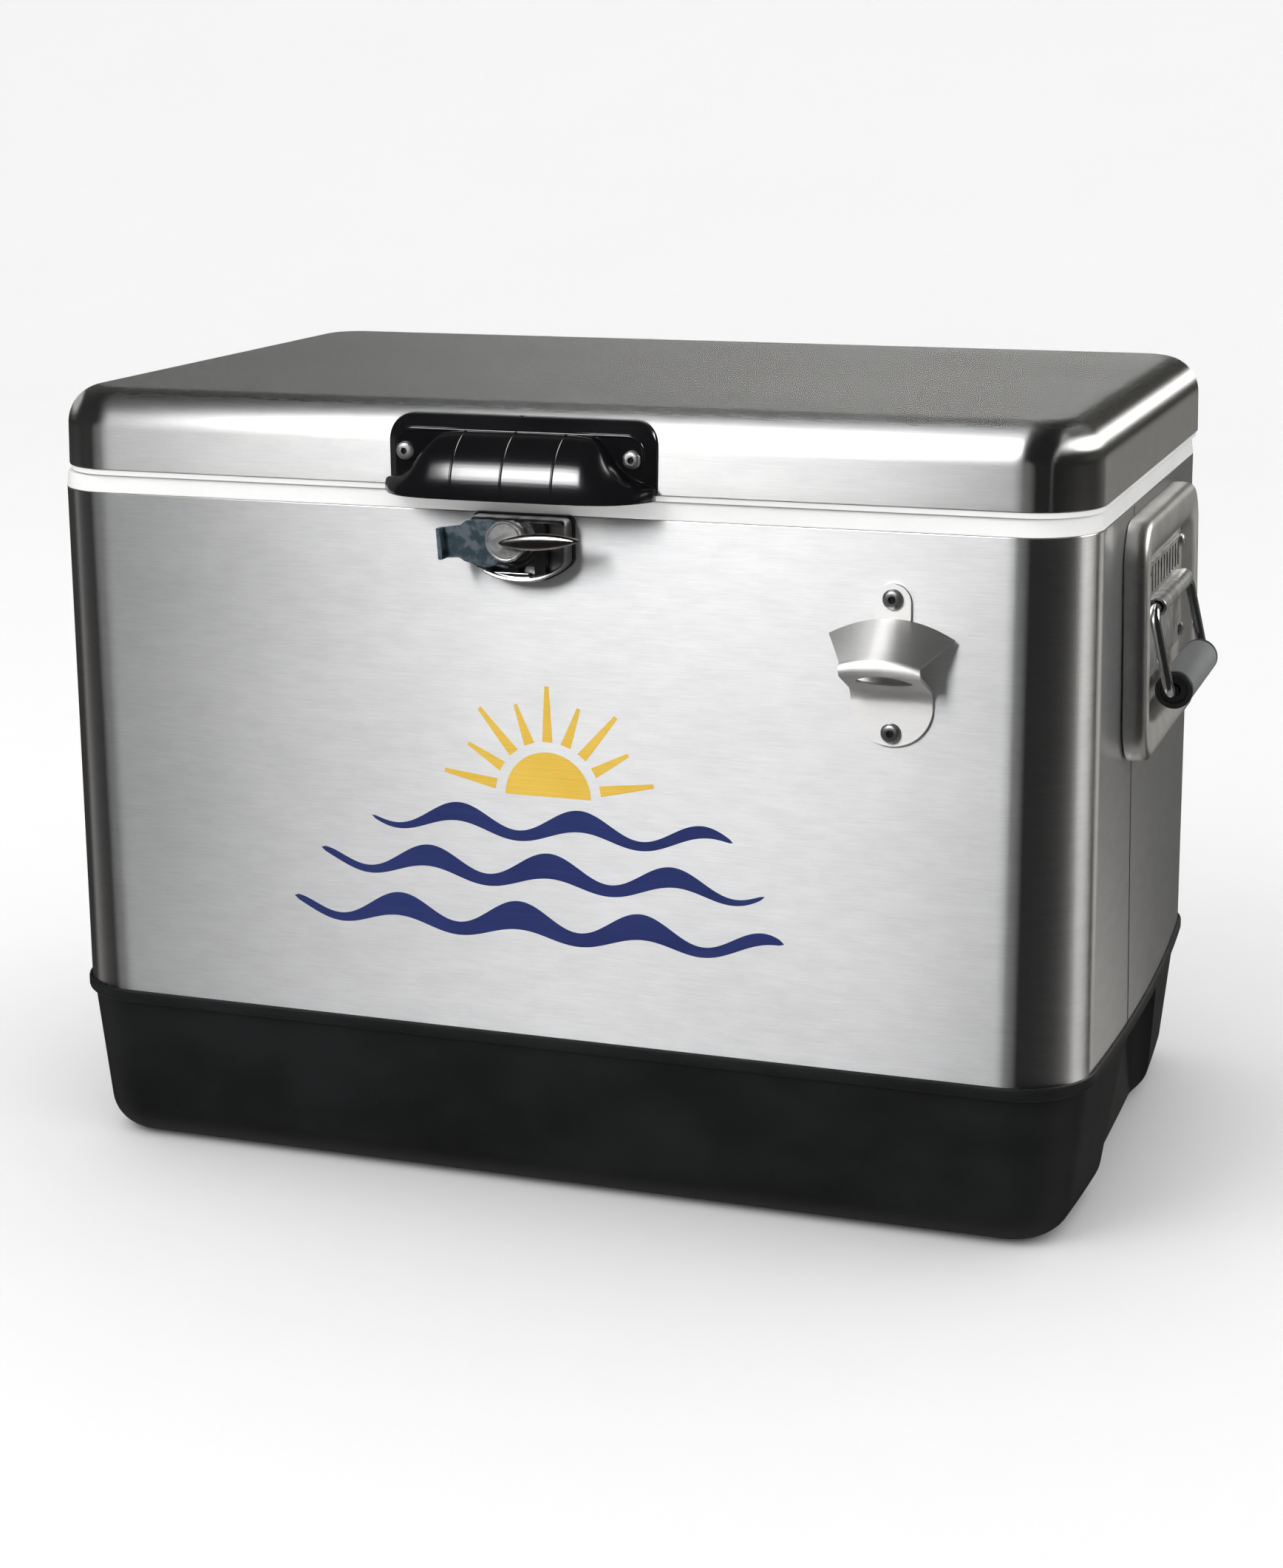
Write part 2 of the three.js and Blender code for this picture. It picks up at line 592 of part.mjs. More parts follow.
function bottleOpener() {
  const { x, tab, plate, sheet, topZ, neckZ, ridgeZ, foldZ, bottomZ } = OPENER;
  const back = -BODY.halfY - GAP;
  const tabShape = new THREE.Shape();
  tabShape.moveTo(x - tab, neckZ - 2);
  tabShape.lineTo(x + tab, neckZ - 2);
  tabShape.lineTo(x + tab, topZ - tab);
  tabShape.absarc(x, topZ - tab, tab, 0, Math.PI);
  const plateShape = new THREE.Shape();
  plateShape.moveTo(x + plate, foldZ + 2);
  plateShape.lineTo(x - plate, foldZ + 2);
  plateShape.lineTo(x - plate, bottomZ + plate);
  plateShape.absarc(x, bottomZ + plate, plate, Math.PI, 2 * Math.PI);
  const front = back - sheet;
  const shares = [-1, -0.82, -0.64, -0.32, 0, 0.32, 0.64, 0.82, 1];
  const { tipHalf, tipZ, tipOut, ridgeHalf, reach } = HOOD;
  const upper = shares.map(share => [
    x + share * tipHalf,
    back - tipOut * share ** 2,
    neckZ + (tipZ - neckZ) * share ** 2,
  ]);
  const lower = shares.map(share => {
    const beyond = Math.max(0, (Math.abs(share) * tipHalf - ridgeHalf) / (tipHalf - ridgeHalf));
    return [x + share * tipHalf, back - reach + (reach - tipOut) * beyond, ridgeZ + (tipZ - 3 - ridgeZ) * beyond];
  });
  const hood = sheetBetween(upper, lower, sheet);
  const span = [-1, 0, 1];
  const foldTop = span.map(share => [x + share * plate, back - reach + 1, ridgeZ + 1.6]);
  const foldLow = span.map(share => [x + share * plate, front + 0.8, foldZ]);
  const fold = sheetBetween(foldTop, foldLow, sheet);
  const slot = new THREE.Shape();
  slot.moveTo(x - 15, 317.6);
  slot.quadraticCurveTo(x, 323.6, x + 15, 317.6);
  slot.quadraticCurveTo(x, 313, x - 15, 317.6);
  const slotCut = toSolid(frontPlate(slot, 6, 26));
  const tabSolid = toSolid(frontPlate(tabShape, GAP, sheet));
  const plateSolid = toSolid(frontPlate(plateShape, GAP, sheet));
  return toGeometry(tabSolid.add(plateSolid).add(hood).add(fold.subtract(slotCut)));
}

place('bottle_opener', bottleOpener(), FINISH.brushed);
for (const [level, z] of [['top', 357.4], ['bottom', 286.6]]) {
  placeRivet(`opener_rivet_${level}`, 5.5, 2.8, 'front', [OPENER.x, -BODY.halfY - OPENER.sheet - 2 * GAP, z]);
}

// ---------------------------------------------------------------- drop handles

// Local X points out of the end wall, from a group that leans with the bowed wall.
function handlePlate() {
  const { rise, floor, sheet } = HANDLE;
  const front = [[0, 0], [0.8, 8.5], [6, rise], [13, rise], [20, 11], [26, floor]];
  const rear = [[sheet, 0], [2.2, 7.6], [6.4, rise - sheet], [13, rise - sheet], [19.4, 9.6], [24.8, floor - sheet]];
  const ringAt = ([inset, x]) => {
    const corner = Math.max(HANDLE.corner - inset, 7);
    return asEndRing(outline(HANDLE.y - inset, HANDLE.halfZ - inset, corner, { endSteps: 1, cornerSteps: 4 }), x);
  };
  return loft([...rear.reverse().map(ringAt), ...front.map(ringAt)]);
}

function handleClip() {
  const low = HANDLE.floor + GAP;
  const leaf = toSolid(box([low, -63.5, -24], [low + 1.2, 63.5, 38.5]));
  const along = geometry => geometry.translate(BAIL.pivotX, 0, BAIL.pivotZ);
  const tube = toSolid(along(turned([[0, -48], [5, -48], [5, 48], [0, 48]])));
  const bore = toSolid(along(turned([[0, -70], [3.7, -70], [3.7, 70], [0, 70]])));
  return toGeometry(leaf.add(tube).subtract(bore));
}

// A round wire along a flat path of [y, z] points; each ring lies across the path.
function wire(path, radius, sides = 8) {
  const rings = path.map(([y, z], i) => {
    const [y0, z0] = path[Math.max(i - 1, 0)];
    const [y1, z1] = path[Math.min(i + 1, path.length - 1)];
    const along = new THREE.Vector2(y1 - y0, z1 - z0).normalize();
    return Array.from({ length: sides }, (_, k) => {
      const turn = (2 * Math.PI * k) / sides;
      const side = radius * Math.cos(turn);
      return [radius * Math.sin(turn), y + side * along.y, z - side * along.x];
    });
  });
  return loft(rings.map(points => points.reverse()));
}

// The bail is a rectangle of wire with rounded corners, butted inside its clip, hanging from the origin.
function bailWire() {
  const { halfY, bend, drop } = BAIL;
  const corners = [[halfY - bend, -bend, 90], [halfY - bend, -drop + bend, 0], [-halfY + bend, -drop + bend, -90], [-halfY + bend, -bend, -180]];
  const path = [[0.8, 0]];
  for (const [y, z, from] of corners) {
    for (let step = 0; step <= 3; step += 1) {
      const turn = rad(from - 30 * step);
      path.push([y + bend * Math.cos(turn), z + bend * Math.sin(turn)]);
    }
  }
  path.push([-0.8, 0]);
  return wire(path, BAIL.wire);
}

for (const [name, side] of [['right', 1], ['left', -1]]) {
  const turnRound = side > 0 ? 0 : Math.PI;
  const end = new THREE.Group();
  end.rotation.z = turnRound;
  chest.add(end);
  const mount = new THREE.Group();
  mount.position.set(HANDLE.wallX, 0, HANDLE.z);
  mount.rotation.y = -rad(HANDLE.tilt);
  end.add(mount);
  place(`handle_plate_${name}`, handlePlate(), FINISH.brushed, mount);
  place(`handle_clip_${name}`, handleClip(), FINISH.zinc, mount);
  let number = 1;
  for (const z of [34.6, -18]) {
    for (const y of [-59, 59]) {
      placeRivet(`handle_rivet_${name}_${number}`, 3.8, 2.2, 'right', [HANDLE.floor + 1.2 + 2 * GAP, y, z], mount);
      number += 1;
    }
  }
  const swing = new THREE.Group();
  swing.position.set(BAIL.pivotX, 0, BAIL.pivotZ);
  swing.rotation.y = -rad(BAIL.rest);
  mount.add(swing);
  place(`bail_${name}`, bailWire(), FINISH.chrome, swing);
  place(`grip_sleeve_${name}`, ring(SLEEVE.bore, SLEEVE.radius, -SLEEVE.half, SLEEVE.half, 20), FINISH.grey, swing)
    .position.z = -BAIL.drop;
  for (const [where, low] of [['front', -SLEEVE.half - SLEEVE.cap - GAP], ['rear', SLEEVE.half + GAP]]) {
    const cap = ring(SLEEVE.bore, SLEEVE.radius, low, low + SLEEVE.cap, 20);
    place(`grip_cap_${name}_${where}`, cap, FINISH.rubber, swing).position.z = -BAIL.drop;
  }
}

// ---------------------------------------------------------------- hinges, on the rear

function knuckle(from, to) {
  const shape = turned([[0, from], [HINGE.knuckle, from], [HINGE.knuckle, to], [0, to]]);
  return toSolid(facing.right(shape).translate(0, HINGE.y, HINGE.z));
}

function hingePinHole() {
  const reach = HINGE.half + 5;
  const shape = turned([[0, -reach], [HINGE.pin + 0.2, -reach], [HINGE.pin + 0.2, reach], [0, reach]]);
  return toSolid(facing.right(shape).translate(0, HINGE.y, HINGE.z));
}

// The body's leaf carries the two outer knuckles, each on a short arm under the pin.
function bodyLeaf() {
  const wall = BODY.halfY + GAP;
  const inner = HINGE.half - HINGE.outer;
  let leaf = toSolid(box([-HINGE.half, wall, 345], [HINGE.half, wall + HINGE.leaf, 396]));
  for (const [from, to] of [[-HINGE.half, -inner], [inner, HINGE.half]]) {
    const arm = toSolid(box([from, wall, HINGE.z - HINGE.knuckle], [to, HINGE.y, HINGE.z - HINGE.knuckle + 1.5]));
    leaf = leaf.add(arm).add(knuckle(from, to));
  }
  return toGeometry(leaf.subtract(hingePinHole()));
}

// The lid's leaf carries the middle knuckle on an arm over the pin.
function lidLeaf() {
  const wall = LID.halfY + GAP + 0.1;
  const inner = HINGE.half - HINGE.outer - 0.5;
  const armTop = HINGE.z + HINGE.knuckle;
  const plate = toSolid(box([-HINGE.half, wall, armTop - 1.5], [HINGE.half, wall + HINGE.leaf, 427]));
  const arm = toSolid(box([-inner, wall, armTop - 1.5], [inner, HINGE.y, armTop]));
  return toGeometry(plate.add(arm).add(knuckle(-inner, inner)).subtract(hingePinHole()));
}

function hingePin() {
  const half = HINGE.half;
  const profile = [
    [0, -half - 1.8], [4, -half - 1.8], [4, -half - GAP], [HINGE.pin, -half - GAP], [HINGE.pin, half + 1], [0, half + 1],
  ];
  return facing.right(turned(profile)).translate(0, HINGE.y, HINGE.z);
}

for (const [name, x] of [['right', HINGE.x], ['left', -HINGE.x]]) {
  place(`hinge_body_leaf_${name}`, bodyLeaf(), FINISH.brushed).position.x = x;
  place(`hinge_lid_leaf_${name}`, lidLeaf(), FINISH.brushed).position.x = x;
  place(`hinge_pin_${name}`, hingePin(), FINISH.chrome).position.x = x;
  for (const [where, offset] of [['a', -18], ['b', 18]]) {
    const bodyFace = BODY.halfY + HINGE.leaf + 2 * GAP;
    const lidFace = LID.halfY + HINGE.leaf + 2 * GAP + 0.1;
    placeRivet(`hinge_body_rivet_${name}_${where}`, 4, 2, 'rear', [x + offset, bodyFace, 358]);
    placeRivet(`hinge_lid_rivet_${name}_${where}`, 4, 2, 'rear', [x + offset, lidFace, 418]);
  }
}

export default chest;
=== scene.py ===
from math import copysign, cos, pi, radians, sin, tan

import bmesh
import bpy
import numpy as np
from mathutils import Matrix, Vector


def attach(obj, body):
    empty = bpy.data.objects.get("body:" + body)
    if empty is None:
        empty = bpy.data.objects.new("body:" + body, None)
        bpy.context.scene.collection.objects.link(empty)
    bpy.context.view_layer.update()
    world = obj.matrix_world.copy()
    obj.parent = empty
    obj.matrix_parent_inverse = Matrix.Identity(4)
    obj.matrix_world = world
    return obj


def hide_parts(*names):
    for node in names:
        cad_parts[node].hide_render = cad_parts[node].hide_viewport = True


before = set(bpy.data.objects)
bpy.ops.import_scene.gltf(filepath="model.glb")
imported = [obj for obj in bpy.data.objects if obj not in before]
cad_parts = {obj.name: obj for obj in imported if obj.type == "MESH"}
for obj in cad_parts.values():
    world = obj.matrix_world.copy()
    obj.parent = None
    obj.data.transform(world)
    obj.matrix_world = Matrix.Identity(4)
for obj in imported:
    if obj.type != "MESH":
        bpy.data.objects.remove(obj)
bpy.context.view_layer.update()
MM = 0.001
SIDES = (("right", 1), ("left", -1))

# Sizes that more than one piece is built on.
HALF_X, WALL, CORNER = 300, 186, 39  # the belt's outline: its front wall is at Y = -WALL
RIM, TOP, BOW = 97.2, 391.8, 7.9  # the belt's lower and upper edge, and the bow of its ends at the lower one
TAPER = radians(5.4)  # lean of the tub's walls
FOOT = 21.8  # radius of the tub's bottom edge
DRAIN = (0, 0, 70)  # a point on the drain's axis, which runs along X
LID_TOP, LID_FOOT, LID_EDGE = 450, 405.4, 22.1  # the lid's top, its lower edge and the radius between
MIDDLE = -5  # X of the middle of the grip and of the latch's plates
PIVOT = (-8.5, -WALL, 380)  # the latch's axis, where it meets the front wall

# ---- node tools


class Nodes:
    """A short way to write shader nodes: each call adds a node and returns its output."""

    def __init__(self, tree):
        self.tree = tree
        tree.nodes.clear()

    def add(self, kind, out=0, props=None, **inputs):
        node = self.tree.nodes.new(kind)
        for key, value in (props or {}).items():
            setattr(node, key, value)
        for key, value in inputs.items():
            self.feed(node.inputs[key.replace("_", " ")], value)
        return node.outputs[out]

    def feed(self, socket, value):
        if isinstance(value, bpy.types.NodeSocket):
            self.tree.links.new(value, socket)
        elif value is not None:
            socket.default_value = value

    def math(self, operation, a, b=0, c=0):
        node = self.tree.nodes.new("ShaderNodeMath")
        node.operation = operation
        for socket, value in zip(node.inputs, (a, b, c)):
            self.feed(socket, value)
        return node.outputs[0]

    def ramp(self, value, low, high, to_low=0, to_high=1):
        """Smoothly maps value from low..high to to_low..to_high, held beyond both ends."""
        node = self.tree.nodes.new("ShaderNodeMapRange")
        node.interpolation_type = "SMOOTHSTEP"
        ends = {"From Min": low, "From Max": high, "To Min": to_low, "To Max": to_high}
        for name, number in {"Value": value, **ends}.items():
            self.feed(node.inputs[name], number)
        return node.outputs[0]

    def mix(self, share, a, b):
        node = self.tree.nodes.new("ShaderNodeMix")
        node.data_type = "RGBA"
        self.feed(node.inputs[0], share)
        self.feed(node.inputs[6], a)
        self.feed(node.inputs[7], b)
        return node.outputs[2]

    def times(self, a, b):
        return self.math("MULTIPLY", a, b)

    def plus(self, a, b):
        return self.math("ADD", a, b)

    def rest(self, a):
        return self.math("SUBTRACT", 1, a)

    def size(self, a):
        return self.math("ABSOLUTE", a)

    def axes(self, vector):
        node = self.tree.nodes.new("ShaderNodeSeparateXYZ")
        self.feed(node.inputs[0], vector)
        return node.outputs

    def carried(self, vector, kind, start, end):
        """A normal or a direction, carried from one space to another."""
        props = {"vector_type": kind, "convert_from": start, "convert_to": end}
        return self.add("ShaderNodeVectorTransform", 0, props, Vector=vector)

    def stretched(self, scale):
        """Object coordinates, in metres, multiplied by scale: one number, or one for each axis."""
        scale = scale if isinstance(scale, tuple) else (scale,) * 3
        place = self.add("ShaderNodeTexCoord", 3)
        return self.add("ShaderNodeMapping", 0, Vector=place, Scale=scale)

    def noise(self, scale, detail, roughness):
        place = self.stretched(scale)
        return self.add("ShaderNodeTexNoise", 0, Vector=place, Scale=1, Detail=detail, Roughness=roughness)


def rgb(red, *others):
    """A colour, or a grey where only one value is given."""
    return (red, *(others or (red, red)), 1)


def link(obj):
    bpy.context.scene.collection.objects.link(obj)


def new_material(name):
    material = bpy.data.materials.new(name)
    material.use_nodes = True
    nodes = Nodes(material.node_tree)
    shader = material.node_tree.nodes.new("ShaderNodeBsdfPrincipled")
    output = material.node_tree.nodes.new("ShaderNodeOutputMaterial")
    material.node_tree.links.new(shader.outputs[0], output.inputs[0])
    return material, nodes, shader.inputs


def bump(n, inputs, height, strength, distance):
    height = n.add("ShaderNodeBump", 0, Height=height, Strength=strength, Distance=distance)
    n.feed(inputs["Normal"], height)


# ---- materials


def brushed(name, colour, roughness, grain, along="level", stretch=1):
    """Brushed sheet. Lines run level round the piece, or, on a lid, along X and then down its two ends."""
    material, n, inputs = new_material(name)
    fine, fibre = 2400, 55
    normal = n.carried(n.add("ShaderNodeNewGeometry", 1), "NORMAL", "WORLD", "OBJECT")
    nx, ny, nz = n.axes(normal)
    if along == "lid":
        sideways = n.ramp(n.size(nx), 0.2, 0.6)
        lengthways = n.rest(sideways)
        lines = n.mix(sideways, n.noise((fibre, fine, fine), 3, 0.6), n.noise((fine, fine, fibre), 3, 0.6))
        # The direction across the lines. The ones along X are a few degrees off true.
        off_true = 0.065
        across = n.add(
            "ShaderNodeCombineXYZ",
            0,
            X=n.plus(
                n.times(n.times(ny, n.math("SIGN", nx)), n.times(sideways, -1)),
                n.times(lengthways, off_true),
            ),
            Y=n.plus(n.times(nz, lengthways), n.times(n.size(nx), sideways)),
            Z=n.times(n.times(ny, -1), lengthways),
        )
    else:
        lines = n.noise((fibre, fibre, fine), 3, 0.6)
        across = n.add("ShaderNodeCombineXYZ", 0, X=0, Y=0, Z=1)
    n.feed(inputs["Tangent"], n.carried(across, "VECTOR", "OBJECT", "WORLD"))
    cloud = n.noise((9, 9, 13), 4, 0.6)
    smear = n.noise((45, 45, 110), 4, 0.6)
    shade = n.plus(n.times(lines, 0.6), n.times(smear, 0.4))
    low = rgb(*(c * (1 - 0.07 * grain) for c in colour))
    high = rgb(*(min(1, c * (1 + 0.05 * grain)) for c in colour))
    n.feed(inputs["Base Color"], n.mix(n.ramp(shade, 0.3, 0.7), low, high))
    rough = n.ramp(lines, 0.25, 0.75, roughness - 0.008, roughness + 0.012)
    rough = n.plus(rough, n.ramp(cloud, 0.3, 0.7, -0.004, 0.006))
    if along == "lid":
        # The top is polished a little finer than the rounded edge.
        rough = n.plus(rough, n.ramp(nz, 0.75, 0.97, 0, -0.045))
    n.feed(inputs["Roughness"], rough)
    # Painted shade at the bends: flat faces are made partly non-metallic, so a little diffuse light lifts
    # them, while the bends between them stay fully metallic and darker.
    facing = n.math("MAXIMUM", n.size(nz), n.math("MAXIMUM", n.size(nx), n.size(ny)))
    n.feed(inputs["Metallic"], n.ramp(facing, 0.975, 0.998, 1, 0.875))
    inputs["Anisotropic"].default_value = stretch
    bump(n, inputs, lines, 0.02 * grain, 0.0002)
    return material


def plated(name, colour, roughness, tint=None, patches=0, size=70, marks=1):
    """Bright plating with faint handling marks, and patches of a second tint where it is mottled."""
    material, n, inputs = new_material(name)
    cloud = n.noise(size, 4, 0.55)
    fine = n.noise(900, 2, 0.5)
    inputs["Base Color"].default_value = rgb(*colour)
    if tint:
        share = n.ramp(cloud, 0.42, 0.6, 0, patches)
        n.feed(inputs["Base Color"], n.mix(share, rgb(*colour), rgb(*tint)))
    rough = n.ramp(cloud, 0.3, 0.7, roughness - 0.02 * marks, roughness + 0.04 * marks)
    n.feed(inputs["Roughness"], n.plus(rough, n.times(fine, 0.05 * marks)))
    inputs["Metallic"].default_value = 1
    bump(n, inputs, fine, 0.01 * marks, 0.0001)
    return material


def moulded(name, dark, light, roughness, grain_size, grain, spread=0.08, gloss=1.5):
    """Moulded plastic or rubber: a spark-eroded grain, mottling and uneven sheen."""
    material, n, inputs = new_material(name)
    cloud = n.noise((11, 11, 18), 4, 0.6)
    pores = n.noise(grain_size, 4, 0.65)
    share = n.plus(n.times(cloud, 0.7), n.times(pores, 0.3))
    n.feed(inputs["Base Color"], n.mix(n.ramp(share, 0.35, 0.65), rgb(*dark), rgb(*light)))
    rough = n.ramp(cloud, 0.3, 0.7, roughness - spread / 2, roughness + spread / 2)
    uneven = n.ramp(pores, 0.3, 0.7, -spread / 3, spread / 3)
    n.feed(inputs["Roughness"], n.plus(rough, uneven))
    inputs["IOR"].default_value = gloss
    bump(n, inputs, pores, grain, 0.0006)
    return material


def printed(name, dark, light):
    """Ink on the belt: even colour with the brushed lines just showing through."""
    material, n, inputs = new_material(name)
    lines = n.noise((14, 14, 2600), 3, 0.6)
    cloud = n.noise(30, 3, 0.5)
    share = n.plus(n.times(lines, 0.6), n.times(cloud, 0.4))
    n.feed(inputs["Base Color"], n.mix(n.ramp(share, 0.35, 0.65), rgb(*dark), rgb(*light)))
    n.feed(inputs["Roughness"], n.ramp(lines, 0.3, 0.7, 0.38, 0.5))
    bump(n, inputs, lines, 0.06, 0.0002)
    return material


def cast(name, dark, light):
    """Cast metal left as it came from the mould, pitted and scaly."""
    material, n, inputs = new_material(name)
    pits = n.noise(420, 4, 0.7)
    scales = n.add("ShaderNodeTexVoronoi", 0, Vector=n.stretched(260), Scale=1)
    height = n.plus(n.times(pits, 0.7), n.times(scales, 0.5))
    n.feed(inputs["Base Color"], n.mix(n.ramp(height, 0.3, 0.8), rgb(*dark), rgb(*light)))
    n.feed(inputs["Roughness"], n.ramp(pits, 0.3, 0.7, 0.38, 0.52))
    inputs["Metallic"].default_value = 1
    bump(n, inputs, height, 0.6, 0.0006)
    return material


BELT = brushed("belt_steel", (0.86, 0.86, 0.86), 0.29, 1)
LID = brushed("lid_steel", (0.74, 0.74, 0.73), 0.29, 1, along="lid")
SHEET = brushed("fitting_steel", (0.88, 0.87, 0.85), 0.42, 0.4, stretch=0.9)
PLATE = plated("handle_steel", (0.92, 0.91, 0.89), 0.38, (0.76, 0.74, 0.72), 0.6, 30, 0.3)
CLIP = plated("clip_plate", (0.82, 0.82, 0.81), 0.36, (0.52, 0.52, 0.53), 0.8, 90, 0.3)
# A dark steel for the belt's lap seam: painted shade, standing for the shadow along the lap's edge.
SEAM_PAINTED_SHADE = plated("seam_painted_shade", (0.30, 0.29, 0.28), 0.35)
CHROME = plated("bright_plate", (0.84, 0.85, 0.86), 0.08)
CAST = plated("latch_plate", (0.92, 0.92, 0.92), 0.27, (0.46, 0.46, 0.47), 1, 60, 0.5)
LEVER = plated("lever_plate", (0.52, 0.49, 0.47), 0.16)
HEAD = plated("rivet_plate", (0.62, 0.63, 0.64), 0.34)
SATIN = plated("grip_rivet_plate", (0.95, 0.95, 0.95), 0.45)
ZINC = plated("zinc_plate", (0.25, 0.37, 0.47), 0.37, (0.60, 0.71, 0.79), 1, 170)
DISC = cast("disc_metal", (0.80, 0.80, 0.80), (1, 1, 0.99))
BLACK = moulded("tub_black", (0.0055, 0.006, 0.0065), (0.010, 0.011, 0.012), 0.5, 1500, 0.2)
DARK = moulded("small_black", (0.006, 0.006, 0.007), (0.012, 0.012, 0.013), 0.38, 1800, 0.12)
GLOSS = moulded("grip_black", (0.004, 0.004, 0.005), (0.007, 0.007, 0.008), 0.16, 1600, 0.02, 0.04, 1.85)
WHITE = moulded("liner_white", (0.86, 0.86, 0.85), (0.92, 0.92, 0.91), 0.38, 1200, 0.06)
FOAM = moulded("foam", (0.70, 0.62, 0.38), (0.82, 0.76, 0.54), 0.85, 700, 0.5)
GREY = moulded("sleeve_grey", (0.16, 0.165, 0.17), (0.22, 0.225, 0.23), 0.55, 1500, 0.2)
RUBBER = moulded("end_rubber", (0.010, 0.010, 0.010), (0.020, 0.020, 0.020), 0.5, 1500, 0.12)
GOLD = printed("print_gold", (0.74, 0.46, 0.045), (0.82, 0.54, 0.075))
NAVY = printed("print_navy", (0.010, 0.022, 0.125), (0.016, 0.032, 0.165))

# ---- mesh tools


def mesh_object(name, verts, faces):
    mesh = bpy.data.meshes.new(name)
    mesh.from_pydata([tuple(v) for v in verts], [], faces)
    mesh.update()
    work = bmesh.new()
    work.from_mesh(mesh)
    bmesh.ops.remove_doubles(work, verts=work.verts, dist=1e-4)
    bmesh.ops.recalc_face_normals(work, faces=work.faces)
    if work.calc_volume(signed=True) < 0:
        bmesh.ops.reverse_faces(work, faces=work.faces)
    work.to_mesh(mesh)
    work.free()
    obj = bpy.data.objects.new(name, mesh)
    link(obj)
    return obj


def apply_modifiers(obj):
    graph = bpy.context.evaluated_depsgraph_get()
    mesh = bpy.data.meshes.new_from_object(obj.evaluated_get(graph))
    obj.modifiers.clear()
    obj.data = mesh


def boolean(obj, tool, operation="DIFFERENCE"):
    modifier = obj.modifiers.new("boolean", "BOOLEAN")
    modifier.solver = "MANIFOLD"
    modifier.operation = operation
    modifier.object = tool
    apply_modifiers(obj)
    bpy.data.objects.remove(tool)
    return obj


def bevelled(obj, width, angle=32):
    modifier = obj.modifiers.new("bevel", "BEVEL")
    modifier.width = width
    modifier.segments = 2
    modifier.limit_method = "ANGLE"
    modifier.angle_limit = radians(angle)
    apply_modifiers(obj)


def melted(obj, voxel, passes):
    """Remeshes a moulding and relaxes it, so that its joins run into each other as fillets."""
    modifier = obj.modifiers.new("remesh", "REMESH")
    modifier.mode = "VOXEL"
    modifier.voxel_size = voxel
    smooth = obj.modifiers.new("smooth", "SMOOTH")
    smooth.factor = 0.5
    smooth.iterations = passes
    apply_modifiers(obj)


def finish(obj, material, body, node=None, angle=32):
    """Takes a piece from millimetres to metres, and gives it its looks and its place in the assembly."""
    obj.data.transform(Matrix.Scale(MM, 4))
    obj.data.materials.clear()
    obj.data.materials.append(material)
    obj.data.shade_smooth()
    obj.data.set_sharp_from_angle(angle=radians(angle))
    weighted = obj.modifiers.new("weighted", "WEIGHTED_NORMAL")
    weighted.keep_sharp = True
    apply_modifiers(obj)
    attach(obj, body)
    if node:
        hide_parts(node)


def loft(name, rings, closed=False, margin=0.02):
    """A closed body through rings of equal length. A narrow border keeps the shading of flat ends flat."""
    rings = [np.array(ring, dtype=float) for ring in rings]
    if not closed:
        first, last = (ring + (ring.mean(axis=0) - ring) * margin for ring in (rings[0], rings[-1]))
        rings = [first, *rings, last]
    count = len(rings[0])
    verts = [p for ring in rings for p in ring]
    faces = []
    for k in range(len(rings) if closed else len(rings) - 1):
        low, high = k * count, (k + 1) % len(rings) * count
        for i in range(count):
            j = (i + 1) % count
            faces.append((low + i, low + j, high + j, high + i))
    if not closed:
        faces.append(tuple(range(count))[::-1])
        faces.append(tuple(range(len(verts) - count, len(verts))))
    return mesh_object(name, verts, faces)


def outline(half_x, half_y, corner, bow=0, centre=0, corners=18, ends=16, sides=10):
    """Rounded rectangle, counter-clockwise, with its two X ends bowed out at mid-depth."""
    points = []
    reach_x, reach_y = half_x - corner, half_y - corner

    def add(side, x, y):
        points.append((centre + x + side * bow * (1 - (y / half_y) ** 2), y))

    def arc(side, depth, start):
        for step in range(corners + 1):
            turn = radians(start + 90 * step / corners)
            add(side, side * reach_x + corner * cos(turn), depth * reach_y + corner * sin(turn))

    def between(count):
        """Shares from -1 to 1 with one close to each end, and the two ends left out."""
        return [-0.985] + [2 * k / count - 1 for k in range(1, count)] + [0.985]

    for y in between(ends):
        add(1, half_x, reach_y * y)
    arc(1, 1, 0)
    points.extend((centre + reach_x * -x, half_y) for x in between(sides))
    arc(-1, 1, 90)
    for y in between(ends):
        add(-1, -half_x, -reach_y * y)
    arc(-1, -1, 180)
    points.extend((centre + reach_x * x, -half_y) for x in between(sides))
    arc(1, -1, 270)
    return points


def at_height(points, z):
    return [(x, y, z) for x, y in points]


def turned(name, profile, segments=48, axis="z", at=(0, 0, 0), wave=None):
    """A lathe piece from [radius, height] pairs, its axis then laid along one of the frame's axes."""
    rings = []
    for k in range(segments):
        turn = 2 * pi * k / segments
        scale = 1 if wave is None else wave(turn)
        rings.append([(r * scale * cos(turn), r * scale * sin(turn), h) for r, h in profile])
    verts, faces = [p for ring in rings for p in ring], []
    count = len(profile)
    for k in range(segments):
        low, high = k * count, (k + 1) % segments * count
        for i in range(count - 1):
            faces.append((low + i, high + i, high + i + 1, low + i + 1))
    place = {
        "z": lambda a, b, c: (a, b, c),
        "x": lambda a, b, c: (c, a, b),
        "-x": lambda a, b, c: (-c, a, -b),
        "y": lambda a, b, c: (b, c, a),
        "-y": lambda a, b, c: (a, -c, b),
    }[axis]
    moved = [tuple(a + b for a, b in zip(place(*p), at)) for p in verts]
    return mesh_object(name, moved, faces)


def bore(radius, start, end, segments, axis, at):
    """A plain round tool to cut with."""
    return turned("bore", [(0, start), (radius, start), (radius, end), (0, end)], segments, axis, at)


